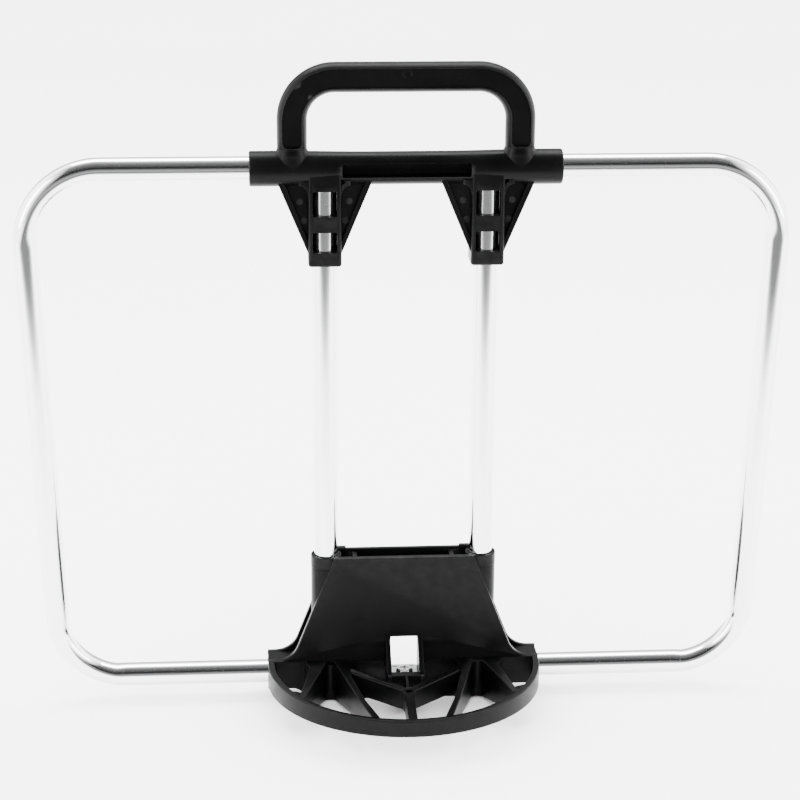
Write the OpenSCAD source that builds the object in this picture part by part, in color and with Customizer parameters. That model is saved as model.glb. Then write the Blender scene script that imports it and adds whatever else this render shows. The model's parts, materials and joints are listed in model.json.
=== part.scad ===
// Rigid front luggage carrier frame for a folding bicycle. Two bent side tubes and two straight
// uprights join a handle moulding at the top to a base moulding at the bottom. The base holds the
// pocket that slides over the bicycle's carrier block, and a half-round shelf for the bag.
// X runs across the frame, the shelf points towards -Y, and Z = 0 is the plane the base stands on.
// All the tube axes lie in the plane Y = 0.

/* [Tubes] */
// Outside diameter of every tube
tube_d = 12.7; // [10:0.1:15]
// Wall of every tube
tube_wall = 1.5; // [0.8:0.1:1.6]
// Gap left between a tube and the moulding round it
bond_gap = 0.1; // [0.05:0.05:0.2]
// Height of a tube plug's head beyond the end of its tube
plug_head = 1.5; // [1:0.5:2.5]
// Length of a tube plug's stem inside its tube
plug_stem = 7; // [4:1:12]

/* [Loop] */
// Distance between the side tubes, measured at the height of the top tubes
loop_top_w = 389; // [320:1:470]
// Distance between the side tubes, measured at the height of the bottom tubes
loop_bottom_w = 369; // [300:1:450]
// Height of the top tubes above the bottom tubes
loop_h = 278.5; // [230:0.5:340]
// Bend radius of the two upper corners, on the tube's axis
top_bend_r = 39; // [28:1:50]
// Bend radius of the two lower corners, on the tube's axis
bottom_bend_r = 36; // [28:1:50]
// Distance between the ends of the top tubes inside the crosspiece
top_tube_gap = 70; // [69:1:90]
// Distance between the ends of the bottom tubes inside the base
bottom_tube_gap = 70; // [69:1:90]

/* [Uprights] */
// Distance between the two upright tubes
upright_spacing = 83; // [74:0.5:102]
// Height of the uprights' lower ends above the bottom tubes
upright_foot = 38; // [30:1:45]

/* [Crosspiece and handle] */
// Length of the crosspiece
cross_l = 159; // [140:1:200]
// Wall of the crosspiece round a tube
cross_wall = 2.65; // [2.5:0.05:4]
// How much the middle of the crosspiece is slimmer than its ends, on the diameter
cross_waist = 1.3; // [0:0.1:2]
// Distance between the handle's legs
handle_w = 115.4; // [90:0.5:140]
// Height of the handle's bar above the crosspiece
handle_rise = 46.3; // [36:0.5:58]
// Thickness of the grip
grip_d = 15.2; // [13:0.2:19]
// Bend radius of the handle's corners, on the grip's axis
handle_bend_r = 21.5; // [16:0.5:26]
// Width of the channel in the grip's front
channel_w = 9.6; // [7:0.2:11]
// Depth of the channel in the grip's front
channel_depth = 2.6; // [1:0.1:3.5]
// Length of the slot in the crosspiece's front
slot_l = 64.8; // [40:0.2:66]
// Height of the slot in the crosspiece's front
slot_h = 7; // [4:0.5:9]

/* [Brackets] */
// Wall of a bracket's column round its upright
column_wall = 2.15; // [2:0.05:3.5]
// Length of a column below the crosspiece's axis
column_l = 49.7; // [40:0.1:60]
// Reach of a gusset from the upright's axis where it meets the crosspiece
gusset_reach = 22.6; // [16:0.2:28]
// Height of the gussets' lower ends above the columns' lower ends
gusset_foot = 5.5; // [3:0.5:18]
// Width of the raised border on a gusset's slanted edge
gusset_border = 2.7; // [1.5:0.1:4]
// Height of the upper window in a column
window_high_h = 13; // [8:0.5:14]
// Height of the lower window in a column
window_low_h = 10.6; // [6:0.2:12]
// Height of the band between the two windows
window_band = 8.2; // [5:0.2:10]

/* [Base] */
// Height of the base above the bottom tubes' axis
base_top = 68.4; // [60:0.2:84]
// Depth of the base below the bottom tubes' axis
base_drop = 14; // [11:0.5:18]
// Width of the base across its shoulders, which is also the shelf's width
base_w = 147; // [130:1:180]
// Wall of a socket round its upright
socket_wall = 1.7; // [1.5:0.1:3]
// Wall of a shoulder round its bottom tube
shoulder_wall = 2.4; // [2.2:0.1:3.5]
// Thickness of the front panel
panel_t = 3.2; // [2.4:0.1:4]
// Thickness of the back panel
back_t = 3; // [2:0.1:4]
// Angle of the panels' slanted edges from upright
panel_slant = 21.2; // [16:0.2:26]
// Radius of the hollow between a slanted edge and its shoulder
shoulder_fillet = 13; // [8:1:18]
// Distance from a panel's edge to the side wall between the panels
flange_w = 4.5; // [3:0.5:7]

/* [Carrier block pocket] */
// Width of the pocket at the mouth
pocket_mouth_w = 62; // [50:1:62]
// Width of the pocket at the top
pocket_top_w = 49; // [40:1:56]
// Height of the pocket above the mouth
pocket_h = 64; // [50:1:70]
// Width of the back slot at the mouth
slot_mouth_w = 42; // [34:1:46]
// Width of the back slot at the top
slot_top_w = 32; // [26:1:36]
// Height of the back slot above the mouth
slot_rise = 58; // [40:1:60]
// How far the guide rails stand out behind the back panel
rail_depth = 5; // [3:0.5:8]

/* [Catch window] */
// Width of the catch window
catch_w = 14.8; // [10:0.2:18]
// Height of the window's upper edge above the bottom tubes' axis
catch_top = 22.3; // [18:0.1:28]
// Height of the catch plate's top above the bottom tubes' axis
catch_sill = 4.4; // [3:0.1:6]
// Thickness of the catch plate
plate_t = 2; // [1.5:0.1:3]
// Wall of the collar round the window
collar_wall = 2.6; // [1.8:0.1:3.5]
// How far the collar stands out in front of the panel
collar_depth = 21.2; // [16:0.2:24]
// Diameter of the catch screw's shank
screw_d = 4; // [3:0.5:5]
// Diameter of the catch screw's head
screw_head_d = 9.2; // [7:0.2:11]
// Height of the catch screw's head
screw_head_h = 2.8; // [2:0.1:3.5]

/* [Shelf] */
// Height of the shelf's top above the bottom tubes' axis
deck = 9; // [8:0.1:12]
// Thickness of the shelf's rim
rim_t = 3.6; // [2.5:0.1:5]
// Depth of the rim below the deck at the shoulders
rim_h = 12.4; // [9:0.1:16]
// How much shallower the rim is at the front
rim_rise = 3.2; // [0:0.1:5]
// Wall of the hollow ribs
rib_wall = 2.4; // [1.8:0.1:3]
// Thickness of the hollow ribs' top
rib_skin = 2.4; // [1.8:0.1:3.5]
// Width of the central rib
spine_w = 4; // [3:0.1:6]

/* [Hidden] */
$fn = 64;

LEFT = -1;
RIGHT = 1;
embed = 0.5;     // how far a piece of a moulding runs into its neighbour
past = 5;        // how far a cut runs past the face it opens

low = base_drop;                        // height of the bottom tubes' axis
high = base_drop + loop_h;              // height of the top tubes' axis
lean = atan((loop_top_w - loop_bottom_w) / 2 / loop_h);
bore_d = tube_d + 2 * bond_gap;
plug_d = tube_d - 2 * tube_wall - 2 * bond_gap;
upright_x = upright_spacing / 2;

cross_d = tube_d + 2 * cross_wall;
column_w = tube_d + 2 * column_wall;
column_r = 1.6;                         // rounding of a column's upright edges
column_foot = high - column_l;
upright_head = high - tube_d / 2 - plug_head - 2 * bond_gap - 0.5;
handle_top = high + handle_rise;
channel_foot = high + cross_d / 2 + 2.5;
gusset_web = 6;                         // thickness of a gusset's thin part
gusset_rim = 12;                        // thickness of a gusset's border
window_w = tube_d + 0.6;
window_high_z = high - cross_d / 2 - 1.6;

base_t = tube_d + 2 * socket_wall;      // distance over the sockets, front to back
front = -base_t / 2 - 0.25;             // the front panel's face, just proud of the sockets
back = base_t / 2 + 0.25;               // the back panel's face
inner_front = front + panel_t;
inner_back = back - back_t;
shoulder_d = tube_d + 2 * shoulder_wall;
shoulder_x = base_w / 2;
shoulder_low = -7;                      // underside of the shoulders at the panels
drop_x = upright_x + 3.5;               // where the panels' full drop ends
slant_top_x = upright_x - 4;            // where a slanted edge meets the base's top
pocket_roof = pocket_h - base_drop;     // above the bottom tubes' axis
pocket_wall = 2.6;
socket_floor = upright_foot - plug_head - 2.5;

catch_x = catch_w / 2;
collar_x = catch_x + collar_wall;
collar_front = front - collar_depth;
lip_t = 4.9;                              // thickness of the collar's front wall
screw_y = front - 6.7;
screw_boss_d = 9.4;
screw_l = 12;
sill_t = 3.4;                           // plastic under the catch plate

shelf_y = front - 0.6;                  // centre of the shelf's half round
shelf_r = shoulder_x;
rim_in = shelf_r - rim_t;

// Turns a sketch in X and Y into one in X and Z, with the sketch's own Z towards -Y.
module upright_sketch() { rotate([90, 0, 0]) children(); }

// Extrudes an X and Z sketch from the depth y0 to the depth y1.
module slab(y0, y1) { translate([0, y1, 0]) upright_sketch() linear_extrude(y1 - y0) children(); }

// Extrudes a Y and Z sketch over the width w, centred on X = 0.
module side_profile(w) {
    rotate([90, 0, 90]) translate([0, 0, -w / 2]) linear_extrude(w) children();
}

module both_sides() {
    children();
    mirror([1, 0, 0]) children();
}

module on_side(side) { mirror([side == LEFT ? 1 : 0, 0, 0]) children(); }

module ring(d, wall) {
    difference() {
        circle(d = d);
        circle(d = d - 2 * wall);
    }
}

module rounded_rect(w, h, r) {
    square([w - 2 * r, h], center = true);
    square([w, h - 2 * r], center = true);
    for (x = [-1, 1], y = [-1, 1]) translate([x * (w / 2 - r), y * (h / 2 - r)]) circle(r);
}

// A round bar or tube along +X from the height z.
module along_x(x0, x1, z) { translate([x0, 0, z]) rotate([0, 90, 0]) linear_extrude(x1 - x0) children(); }

// ---- Tubes ----

// A thin band that joins two lengths of tube into one solid at z = 0.
module seam() { translate([0, 0, -0.5]) linear_extrude(1) ring(tube_d + 0.1, tube_wall + 0.1); }

module loop_tube(side) {
    top_c = [loop_top_w / 2 - top_bend_r * tan((90 + lean) / 2), high - top_bend_r];
    low_c = [loop_bottom_w / 2 - bottom_bend_r * tan((90 - lean) / 2), low + bottom_bend_r];
    out = [cos(lean), -sin(lean)];
    side_foot = low_c + bottom_bend_r * out;
    side_l = norm(top_c + top_bend_r * out - side_foot);
    color("silver") on_side(side) {
        along_x(top_tube_gap / 2, top_c[0], high) ring(tube_d, tube_wall);
        along_x(bottom_tube_gap / 2, low_c[0], low) ring(tube_d, tube_wall);
        for (end = [[top_c[0], high], [low_c[0], low]])
            translate([end[0], 0, end[1]]) rotate([0, 90, 0]) seam();
        upright_sketch() {
            translate(top_c) rotate(-lean) rotate_extrude(angle = 90 + lean)
                translate([top_bend_r, 0]) ring(tube_d, tube_wall);
            translate(low_c) rotate(-90) rotate_extrude(angle = 90 - lean)
                translate([bottom_bend_r, 0]) ring(tube_d, tube_wall);
            translate(side_foot) rotate(-lean) rotate([-90, 0, 0]) {
                linear_extrude(side_l) ring(tube_d, tube_wall);
                for (z = [0, side_l]) translate([0, 0, z]) seam();
            }
        }
    }
}

module upright(side) {
    color("silver") translate([side * upright_x, 0, low + upright_foot])
        linear_extrude(upright_head - low - upright_foot) ring(tube_d, tube_wall);
}

// A plug whose stem points along +Z into its tube and whose head covers the tube's end.
module plug() {
    color("dimgray") {
        translate([0, 0, -plug_head / 2]) cylinder(d = plug_d, h = plug_stem + plug_head / 2);
        translate([0, 0, -plug_head]) cylinder(d = tube_d, h = plug_head - bond_gap);
    }
}

module loop_plug(side, gap, z) { translate([side * gap / 2, 0, z]) rotate([0, side * 90, 0]) plug(); }
module head_plug(side) { translate([side * upright_x, 0, upright_head]) rotate([180, 0, 0]) plug(); }
module foot_plug(side) { translate([side * upright_x, 0, low + upright_foot]) plug(); }

// ---- Handle moulding ----

// Sweeps a grip profile up one leg, across the bar and down the other leg.
module grip_sweep(leg_foot) {
    leg_x = handle_w / 2;
    bend_z = handle_top - handle_bend_r;
    both_sides() {
        translate([leg_x, 0, leg_foot]) linear_extrude(bend_z - leg_foot) rotate(180) children();
        upright_sketch() translate([leg_x - handle_bend_r, bend_z])
            rotate_extrude(angle = 90) translate([handle_bend_r, 0]) children();
        along_x(-embed, leg_x - handle_bend_r, handle_top) rotate(-90) rotate(180) children();
    }
}

module grip_section() { circle(d = grip_d); }

module channel_section() {
    translate([-channel_w / 2, grip_d / 2 - channel_depth]) square([channel_w, channel_depth + past]);
}

module crosspiece() {
    waist_d = cross_d - cross_waist;
    sleeve_x = handle_w / 2 + grip_d / 2;
    chamfer = 0.8;
    both_sides() {
        along_x(-embed, slot_l / 2, high) circle(d = waist_d);
        translate([slot_l / 2, 0, high]) rotate([0, 90, 0])
            cylinder(d1 = waist_d, d2 = cross_d, h = sleeve_x - slot_l / 2);
        along_x(sleeve_x, cross_l / 2 - chamfer, high) circle(d = cross_d);
        translate([cross_l / 2 - chamfer, 0, high]) rotate([0, 90, 0])
            cylinder(d1 = cross_d, d2 = cross_d - 2 * chamfer, h = chamfer);
    }
}

module column() {
    translate([0, 0, column_foot]) linear_extrude(column_l) rounded_rect(column_w, column_w, column_r);
}

// One gusset of a bracket, in X and Z from the upright's axis.
module gusset() {
    foot_z = column_foot + gusset_foot;
    top_z = high - cross_d / 4;
    join_z = high - cross_d / 2;
    slope = (gusset_reach - column_w / 2 + 0.4) / (join_z - foot_z);
    top_x = gusset_reach + slope * (top_z - join_z);
    foot_x = column_w / 2 - 0.4;
    slab(-gusset_web / 2, gusset_web / 2) polygon([[0, foot_z], [foot_x, foot_z], [top_x, top_z], [0, top_z]]);
    slab(-gusset_rim / 2, gusset_rim / 2) polygon([
        [foot_x - gusset_border, foot_z], [foot_x, foot_z], [top_x, top_z], [top_x - gusset_border, top_z]
    ]);
}

module column_window(top_z, h) {
    translate([-window_w / 2, -column_w, top_z - h]) cube([window_w, 2 * column_w, h]);
}

module handle_moulding() {
    plug_room = plug_head + bond_gap;
    color("#202022") difference() {
        union() {
            difference() {
                grip_sweep(high) grip_section();
                grip_sweep(channel_foot) channel_section();
            }
            crosspiece();
            both_sides() translate([upright_x, 0, 0]) {
                column();
                both_sides() gusset();
            }
        }
        both_sides() {
            along_x(top_tube_gap / 2 - plug_room, cross_l / 2 + past, high) circle(d = bore_d);
            translate([upright_x, 0, 0]) {
                translate([0, 0, column_foot - past])
                    cylinder(d = bore_d, h = upright_head + plug_room - column_foot + past);
                column_window(window_high_z, window_high_h);
                column_window(window_high_z - window_high_h - window_band, window_low_h);
            }
        }
        translate([-slot_l / 2, -cross_d, high - slot_h / 2]) cube([slot_l, cross_d, slot_h]);
    }
}

// ---- Base moulding: everything is drawn above the bottom tubes' axis, then lifted ----

// Half of a panel's outline, shrunk by inset along its slanted edge and its hollow.
function panel_half(inset) =
    let (
        r = shoulder_fillet + inset,
        top_z = base_top - inset,
        edge_x = function(z) slant_top_x - inset / cos(panel_slant) + (base_top - z) * tan(panel_slant),
        centre_z = deck - inset + r,
        centre_x = edge_x(centre_z) + r / cos(panel_slant),
        arc = [for (i = [0:12]) let (a = 180 + panel_slant + (90 - panel_slant) * i / 12)
            [centre_x + r * cos(a), centre_z + r * sin(a)]]
    )
    concat([[edge_x(top_z), top_z]], arc, [
        [max(shoulder_x - inset, centre_x), deck - inset], [shoulder_x - inset, shoulder_low + inset],
        [drop_x + 14 - inset, shoulder_low + inset], [drop_x - inset, inset - base_drop]
    ]);

module panel(inset = 0) {
    half = panel_half(inset);
    last = len(half) - 1;
    polygon(concat(half, [for (i = [0:last]) [-half[last - i][0], half[last - i][1]]]));
}

// A four-sided shape that narrows upwards, from the mouth at the base's foot.
module taper(mouth_w, top_w, h, below = 0) {
    polygon([
        [-mouth_w / 2, -base_drop - below], [mouth_w / 2, -base_drop - below],
        [top_w / 2, h - base_drop], [-top_w / 2, h - base_drop]
    ]);
}

module shell() {
    gap_x = upright_x - tube_d / 2 - 2;
    tab_x = upright_x - tube_d / 2 + 1;
    tab_l = 5.6;
    tab_h = 1;
    slab(front, inner_front) panel();
    slab(inner_back, back) panel();
    slab(front - 0.6, front) intersection() {
        panel();
        translate([-shoulder_x, -base_drop]) square([base_w, base_drop + deck]);
    }
    slab(inner_front - embed, inner_back + embed) difference() {
        panel(flange_w);
        panel(flange_w + pocket_wall);
        taper(pocket_mouth_w, pocket_mouth_w, pocket_h, past);
        translate([-gap_x, base_top / 2]) square([2 * gap_x, base_top]);
    }
    both_sides() {
        slab(inner_back, back) translate([tab_x - tab_l, base_top - embed]) square([tab_l, tab_h + embed]);
        along_x(pocket_mouth_w / 2 + 0.5, shoulder_x, 0) circle(d = shoulder_d);
        translate([upright_x, 0, socket_floor]) cylinder(d = base_t, h = base_top - socket_floor);
    }
}

module pocket_walls() {
    top_w = pocket_top_w + 2 * pocket_wall;
    mouth_w = pocket_mouth_w + 2 * pocket_wall;
    rib_top = base_top - 1.5;
    slab(inner_front - embed, inner_back + embed) {
        difference() {
            taper(mouth_w, top_w, pocket_h);
            taper(pocket_mouth_w, pocket_top_w, pocket_h - pocket_wall, past);
        }
        both_sides() translate([pocket_top_w / 2, pocket_roof - 1]) square([pocket_wall + 0.4, rib_top - pocket_roof + 1]);
    }
    rail_foot = -base_drop;
    slab(back - embed, back + rail_depth) difference() {
        taper(slot_mouth_w + 2 * pocket_wall, slot_top_w + 2 * pocket_wall, slot_rise + pocket_wall);
        taper(slot_mouth_w, slot_top_w, slot_rise, past);
    }
}

module collar() {
    plan_y = collar_front;
    intersection() {
        translate([0, 0, -base_drop]) linear_extrude(base_drop + catch_top + past) difference() {
            translate([-collar_x, plan_y]) square([2 * collar_x, inner_front - plan_y]);
            translate([-catch_x, plan_y + lip_t]) square([catch_w, inner_front - plan_y]);
        }
        side_profile(2 * collar_x) polygon([
            [inner_front, catch_sill - plate_t - sill_t], [plan_y, catch_sill - plate_t - sill_t],
            [plan_y, deck - 1], [plan_y + 1, deck], [plan_y + lip_t, deck],
            [front, catch_top + 1.5], [inner_front, catch_top + 1.5]
        ]);
    }
    translate([-collar_x, plan_y, catch_sill - plate_t - sill_t]) cube([2 * collar_x, inner_front - plan_y, sill_t]);
    translate([0, screw_y, catch_sill - plate_t - screw_l]) cylinder(d = screw_boss_d, h = screw_l);
}

// The half-round plan of the shelf at the radius r, run a little way into the panel.
module half_round(r) {
    intersection() {
        translate([0, shelf_y]) circle(r);
        translate([-shelf_r - past, shelf_y - shelf_r - past]) square([2 * (shelf_r + past), shelf_r + past + embed]);
    }
}

module spoke_plan() {
    polygon([
        [27.5, front + embed], [38.2, front + embed], [21.3, -77], [17, -77], [23.5, -55.4], [29.4, -26.4]
    ]);
}

module corner_plan() {
    polygon([
        [54, front + embed], [51, -17], [55.9, -42], [58, -52], [54.5, -52], [42.3, -11.5], [42.3, front + embed]
    ]);
}

// A rib with walls and a top skin, open underneath, cut off inside the rim.
module hollow_rib() {
    intersection() {
        union() {
            translate([0, 0, deck - rib_skin]) linear_extrude(rib_skin) children();
            translate([0, 0, -base_drop]) linear_extrude(base_drop + deck - rib_skin / 2) difference() {
                children();
                offset(delta = -rib_wall) children();
            }
        }
        translate([0, 0, -base_drop - past]) linear_extrude(base_drop + deck + 2 * past) half_round(shelf_r - 1);
    }
}

module chevron_plan() {
    polygon([[0, -50.5], [30.5, -22.7], [30.5, -16.6], [0, -44.4], [-30.5, -16.6], [-30.5, -22.7]]);
}

// Everything between the shelf's top and its sloping underside.
module shelf_limits(at_panel) {
    shallow = deck - rim_h;
    tip = shelf_y - shelf_r;
    intersection() {
        children();
        side_profile(2 * shelf_r + 2 * past) polygon([
            [front + embed, at_panel], [front, at_panel], [front - 48, shallow + rim_rise * 0.6],
            [tip - past, shallow + rim_rise], [tip - past, deck], [front + embed, deck]
        ]);
    }
}

module shelf() {
    hub_y = -45;
    shelf_limits(deck - rim_h) translate([0, 0, -base_drop]) linear_extrude(base_drop + deck + past) {
        difference() {
            half_round(shelf_r);
            half_round(rim_in);
        }
        chevron_plan();
        translate([-spine_w / 2, shelf_y - rim_in - 1]) square([spine_w, hub_y - shelf_y + rim_in + 1]);
        translate([-0.9, hub_y]) square([1.8, collar_front - hub_y + 1]);
        translate([0, hub_y]) circle(3.6);
    }
    both_sides() {
        shelf_limits(-base_drop) hollow_rib() spoke_plan();
        shelf_limits(-base_drop) hollow_rib() corner_plan();
        translate([0, 0, 1]) linear_extrude(2.5) intersection() {
            half_round(shelf_r - 1);
            polygon([[54, -36], [66, -31], [66, -50], [56, -50]]);
        }
    }
}

module base_moulding() {
    plug_room = plug_head + bond_gap;
    color("#1c1c1e") translate([0, 0, low]) difference() {
        union() {
            shell();
            pocket_walls();
            collar();
            shelf();
        }
        both_sides() {
            along_x(bottom_tube_gap / 2 - plug_room, shoulder_x + past, 0) circle(d = bore_d);
            translate([upright_x, 0, upright_foot - plug_room])
                cylinder(d = bore_d, h = base_top - upright_foot + plug_room + past);
        }
        slab(inner_front, inner_back) taper(pocket_mouth_w, pocket_top_w, pocket_h - pocket_wall, past);
        slab(inner_front, back + rail_depth + past) taper(slot_mouth_w, slot_top_w, slot_rise, past);
        translate([-catch_x, collar_front + lip_t, catch_sill - plate_t])
            cube([catch_w, inner_front - collar_front - lip_t + embed, catch_top - catch_sill + plate_t]);
        translate([0, screw_y, catch_sill - plate_t - screw_l + 1.5])
            cylinder(d = screw_d + 2 * bond_gap, h = screw_l);
    }
}

// ---- Catch ----

module catch_plate() {
    plate_l = inner_front - collar_front - lip_t - 2 * bond_gap;
    color("lightgray") translate([0, 0, low + catch_sill - plate_t + bond_gap / 2]) difference() {
        translate([-catch_x + bond_gap, collar_front + lip_t + bond_gap, 0])
            cube([catch_w - 2 * bond_gap, plate_l, plate_t - bond_gap / 2]);
        translate([0, screw_y, -past]) cylinder(d = screw_d + 0.4, h = plate_t + 2 * past);
    }
}

module catch_screw() {
    cross_w = 1.1;
    cross_l2 = screw_head_d * 0.5;
    color("gainsboro") translate([0, screw_y, low + catch_sill + bond_gap / 2]) difference() {
        union() {
            intersection() {
                cylinder(d = screw_head_d, h = screw_head_h);
                translate([0, 0, screw_head_h - screw_head_d * 0.72]) sphere(d = 2 * screw_head_d * 0.72);
            }
            translate([0, 0, -screw_l + 1.5]) cylinder(d = screw_d, h = screw_l);
        }
        for (a = [0, 90]) rotate(a)
            translate([-cross_l2 / 2, -cross_w / 2, screw_head_h - 1.8]) cube([cross_l2, cross_w, past]);
    }
}

handle_moulding();
base_moulding();
loop_tube(LEFT);  // left_loop_tube
loop_tube(RIGHT);  // right_loop_tube
upright(LEFT);  // left_upright
upright(RIGHT);  // right_upright
catch_plate();
catch_screw();
loop_plug(LEFT, top_tube_gap, high);  // left_top_plug
loop_plug(RIGHT, top_tube_gap, high);  // right_top_plug
loop_plug(LEFT, bottom_tube_gap, low);  // left_bottom_plug
loop_plug(RIGHT, bottom_tube_gap, low);  // right_bottom_plug
head_plug(LEFT);  // left_head_plug
head_plug(RIGHT);  // right_head_plug
foot_plug(LEFT);  // left_foot_plug
foot_plug(RIGHT);  // right_foot_plug
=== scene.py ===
"""Looks of a rigid luggage carrier frame: polished tubes, black mouldings, and a plated catch."""

import json
import logging
import math
from collections.abc import Callable, Sequence
from dataclasses import dataclass, field
from enum import Enum

import bmesh
import bpy
from mathutils import Matrix, Vector

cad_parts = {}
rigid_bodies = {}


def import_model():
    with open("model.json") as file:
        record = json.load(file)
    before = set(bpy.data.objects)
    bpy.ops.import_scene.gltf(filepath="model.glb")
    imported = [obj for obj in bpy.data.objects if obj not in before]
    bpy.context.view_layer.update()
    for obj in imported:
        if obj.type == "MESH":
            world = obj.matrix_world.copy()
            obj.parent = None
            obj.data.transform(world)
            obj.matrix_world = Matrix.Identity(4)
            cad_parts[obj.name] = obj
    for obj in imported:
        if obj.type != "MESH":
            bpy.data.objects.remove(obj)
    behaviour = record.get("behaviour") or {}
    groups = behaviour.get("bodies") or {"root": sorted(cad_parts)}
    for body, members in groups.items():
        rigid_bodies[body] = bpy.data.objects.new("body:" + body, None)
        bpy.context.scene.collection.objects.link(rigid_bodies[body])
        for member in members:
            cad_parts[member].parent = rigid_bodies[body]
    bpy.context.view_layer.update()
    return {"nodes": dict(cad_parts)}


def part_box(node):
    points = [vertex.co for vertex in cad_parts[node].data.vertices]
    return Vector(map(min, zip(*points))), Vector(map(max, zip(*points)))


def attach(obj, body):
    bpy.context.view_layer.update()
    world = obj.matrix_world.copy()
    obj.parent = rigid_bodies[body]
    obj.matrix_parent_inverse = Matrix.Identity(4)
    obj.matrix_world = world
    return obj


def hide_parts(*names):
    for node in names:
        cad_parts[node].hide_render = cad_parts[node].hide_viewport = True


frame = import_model()

LOG = logging.getLogger("carrier")
MM = 0.001

SIGNS = (1, -1)

# How far cutters reach past a wall and past a bore's mouth, in millimetres.
PAST_WALL = 3.0
PAST_BORE = 5.0

# Empty length of a bore behind the end of its tube.
END_GAP = 1.6

# A point of an outline or of a profile, a step of a tube's line (place, squeeze, direction to the
# middle of the bend), and a height that may depend on the place.
Point = tuple[float, float]
Step = tuple[Vector, float, Vector]
Level = float | Callable[[float, float], float]

# Places along a dark sheet of painted shade, from 0 to 1, and its opacity at each.
Fade = tuple[Point, ...]


class Side(Enum):
    """A side of the frame, with the sign of its X."""

    LEFT = -1
    RIGHT = 1


class Axis(Enum):
    """The direction a flat outline is thickened in."""

    X = "x"
    Y = "y"
    Z = "z"

    def place(self, u: float, v: float, w: float) -> Vector:
        """Put outline coordinates u, v and depth w into space."""
        if self is Axis.X:
            return Vector((w, u, v))
        if self is Axis.Y:
            return Vector((u, w, v))
        return Vector((u, v, w))


def eased(share: float) -> float:
    """Turn an even run from 0 to 1 into one that starts and stops gently."""
    return share * share * (3 - 2 * share)


# ---------------------------------------------------------------- outlines


def signed_area(outline: Sequence[Point]) -> float:
    """Area of an outline, positive when it runs anticlockwise."""
    pairs = zip(outline, list(outline[1:]) + [outline[0]])
    return sum(a[0] * b[1] - b[0] * a[1] for a, b in pairs) / 2


def inset(outline: Sequence[Point], by: float) -> list[Point]:
    """Move an anticlockwise outline's edges inwards.

    Args:
        outline: Corners, anticlockwise.
        by: Distance inwards; negative moves them outwards.

    Returns:
        The same number of corners, mitred.
    """
    count = len(outline)
    moved = []
    for i, (x, y) in enumerate(outline):
        before, after = outline[i - 1], outline[(i + 1) % count]
        a = Vector((x - before[0], y - before[1])).normalized()
        b = Vector((after[0] - x, after[1] - y)).normalized()
        na, nb = Vector((-a.y, a.x)), Vector((-b.y, b.x))
        step = (na + nb) * (by / max(0.25, 1 + na.dot(nb)))
        moved.append((x + step.x, y + step.y))
    return moved


def rounded(outline: Sequence[Point], radius: float, steps: int = 4) -> list[Point]:
    """Round every corner of an outline.

    Args:
        outline: Corners in order.
        radius: Corner radius, made smaller where an edge is too short for it.
        steps: Flats in each corner.

    Returns:
        The rounded outline, anticlockwise.
    """
    points = [Vector(p) for p in outline]
    if signed_area(outline) < 0:
        points.reverse()
    made: list[Point] = []
    for i, corner in enumerate(points):
        to_a = points[i - 1] - corner
        to_b = points[(i + 1) % len(points)] - corner
        room = 0.45 * min(to_a.length, to_b.length)
        to_a.normalize()
        to_b.normalize()
        half = to_a.angle(to_b) / 2
        if half > 1.5 or radius <= 0:
            made.append(tuple(corner))
            continue
        reach = min(radius / math.tan(half), room)
        middle = corner + (to_a + to_b).normalized() * (reach / math.cos(half))
        start, end = corner + to_a * reach - middle, corner + to_b * reach - middle
        turn = math.atan2(start.x * end.y - start.y * end.x, start.dot(end))
        for k in range(steps + 1):
            arm = Matrix.Rotation(turn * k / steps, 2) @ start
            made.append(tuple(middle + arm))
    return made


def mirrored(outline: Sequence[Point]) -> list[Point]:
    """Reflect an outline or a profile in its second axis and keep its direction."""
    return [(-x, y) for x, y in reversed(outline)]


def on_side(outline: Sequence[Point], sign: int) -> list[Point]:
    """Put an outline that is drawn on the right onto the side with this sign."""
    return [(sign * x, y) for x, y in outline]


def disc(u: float, v: float, radius: float, segments: int = 48) -> list[Point]:
    """A circle's corners."""
    turns = [2 * math.pi * k / segments for k in range(segments)]
    return [(u + radius * math.cos(t), v + radius * math.sin(t)) for t in turns]


def box_outline(u0: float, u1: float, v0: float, v1: float) -> list[Point]:
    """A rectangle's corners."""
    return [(u0, v0), (u1, v0), (u1, v1), (u0, v1)]


# ---------------------------------------------------------------- solids


def skin(loops: Sequence[Sequence[Vector]], ring: bool = False) -> bpy.types.Mesh:
    """Join loops of equal length into one closed surface.

    Args:
        loops: Loops of points in order.
        ring: True if the last loop joins the first; otherwise both ends are capped.

    Returns:
        A closed mesh with its faces outwards.
    """
    bm = bmesh.new()
    rows = [[bm.verts.new(p) for p in loop] for loop in loops]
    for a, b in zip(rows, rows[1:] + ([rows[0]] if ring else [])):
        for i in range(len(a)):
            j = (i + 1) % len(a)
            bm.faces.new((a[i], a[j], b[j], b[i]))
    if not ring:
        bm.faces.new(tuple(reversed(rows[0])))
        bm.faces.new(tuple(rows[-1]))
    bmesh.ops.recalc_face_normals(bm, faces=list(bm.faces))
    mesh = bpy.data.meshes.new("shape")
    bm.to_mesh(mesh)
    bm.free()
    return mesh


def level_at(level: Level, u: float, v: float) -> float:
    """The value of a level that may depend on the place."""
    return level(u, v) if callable(level) else level


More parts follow.
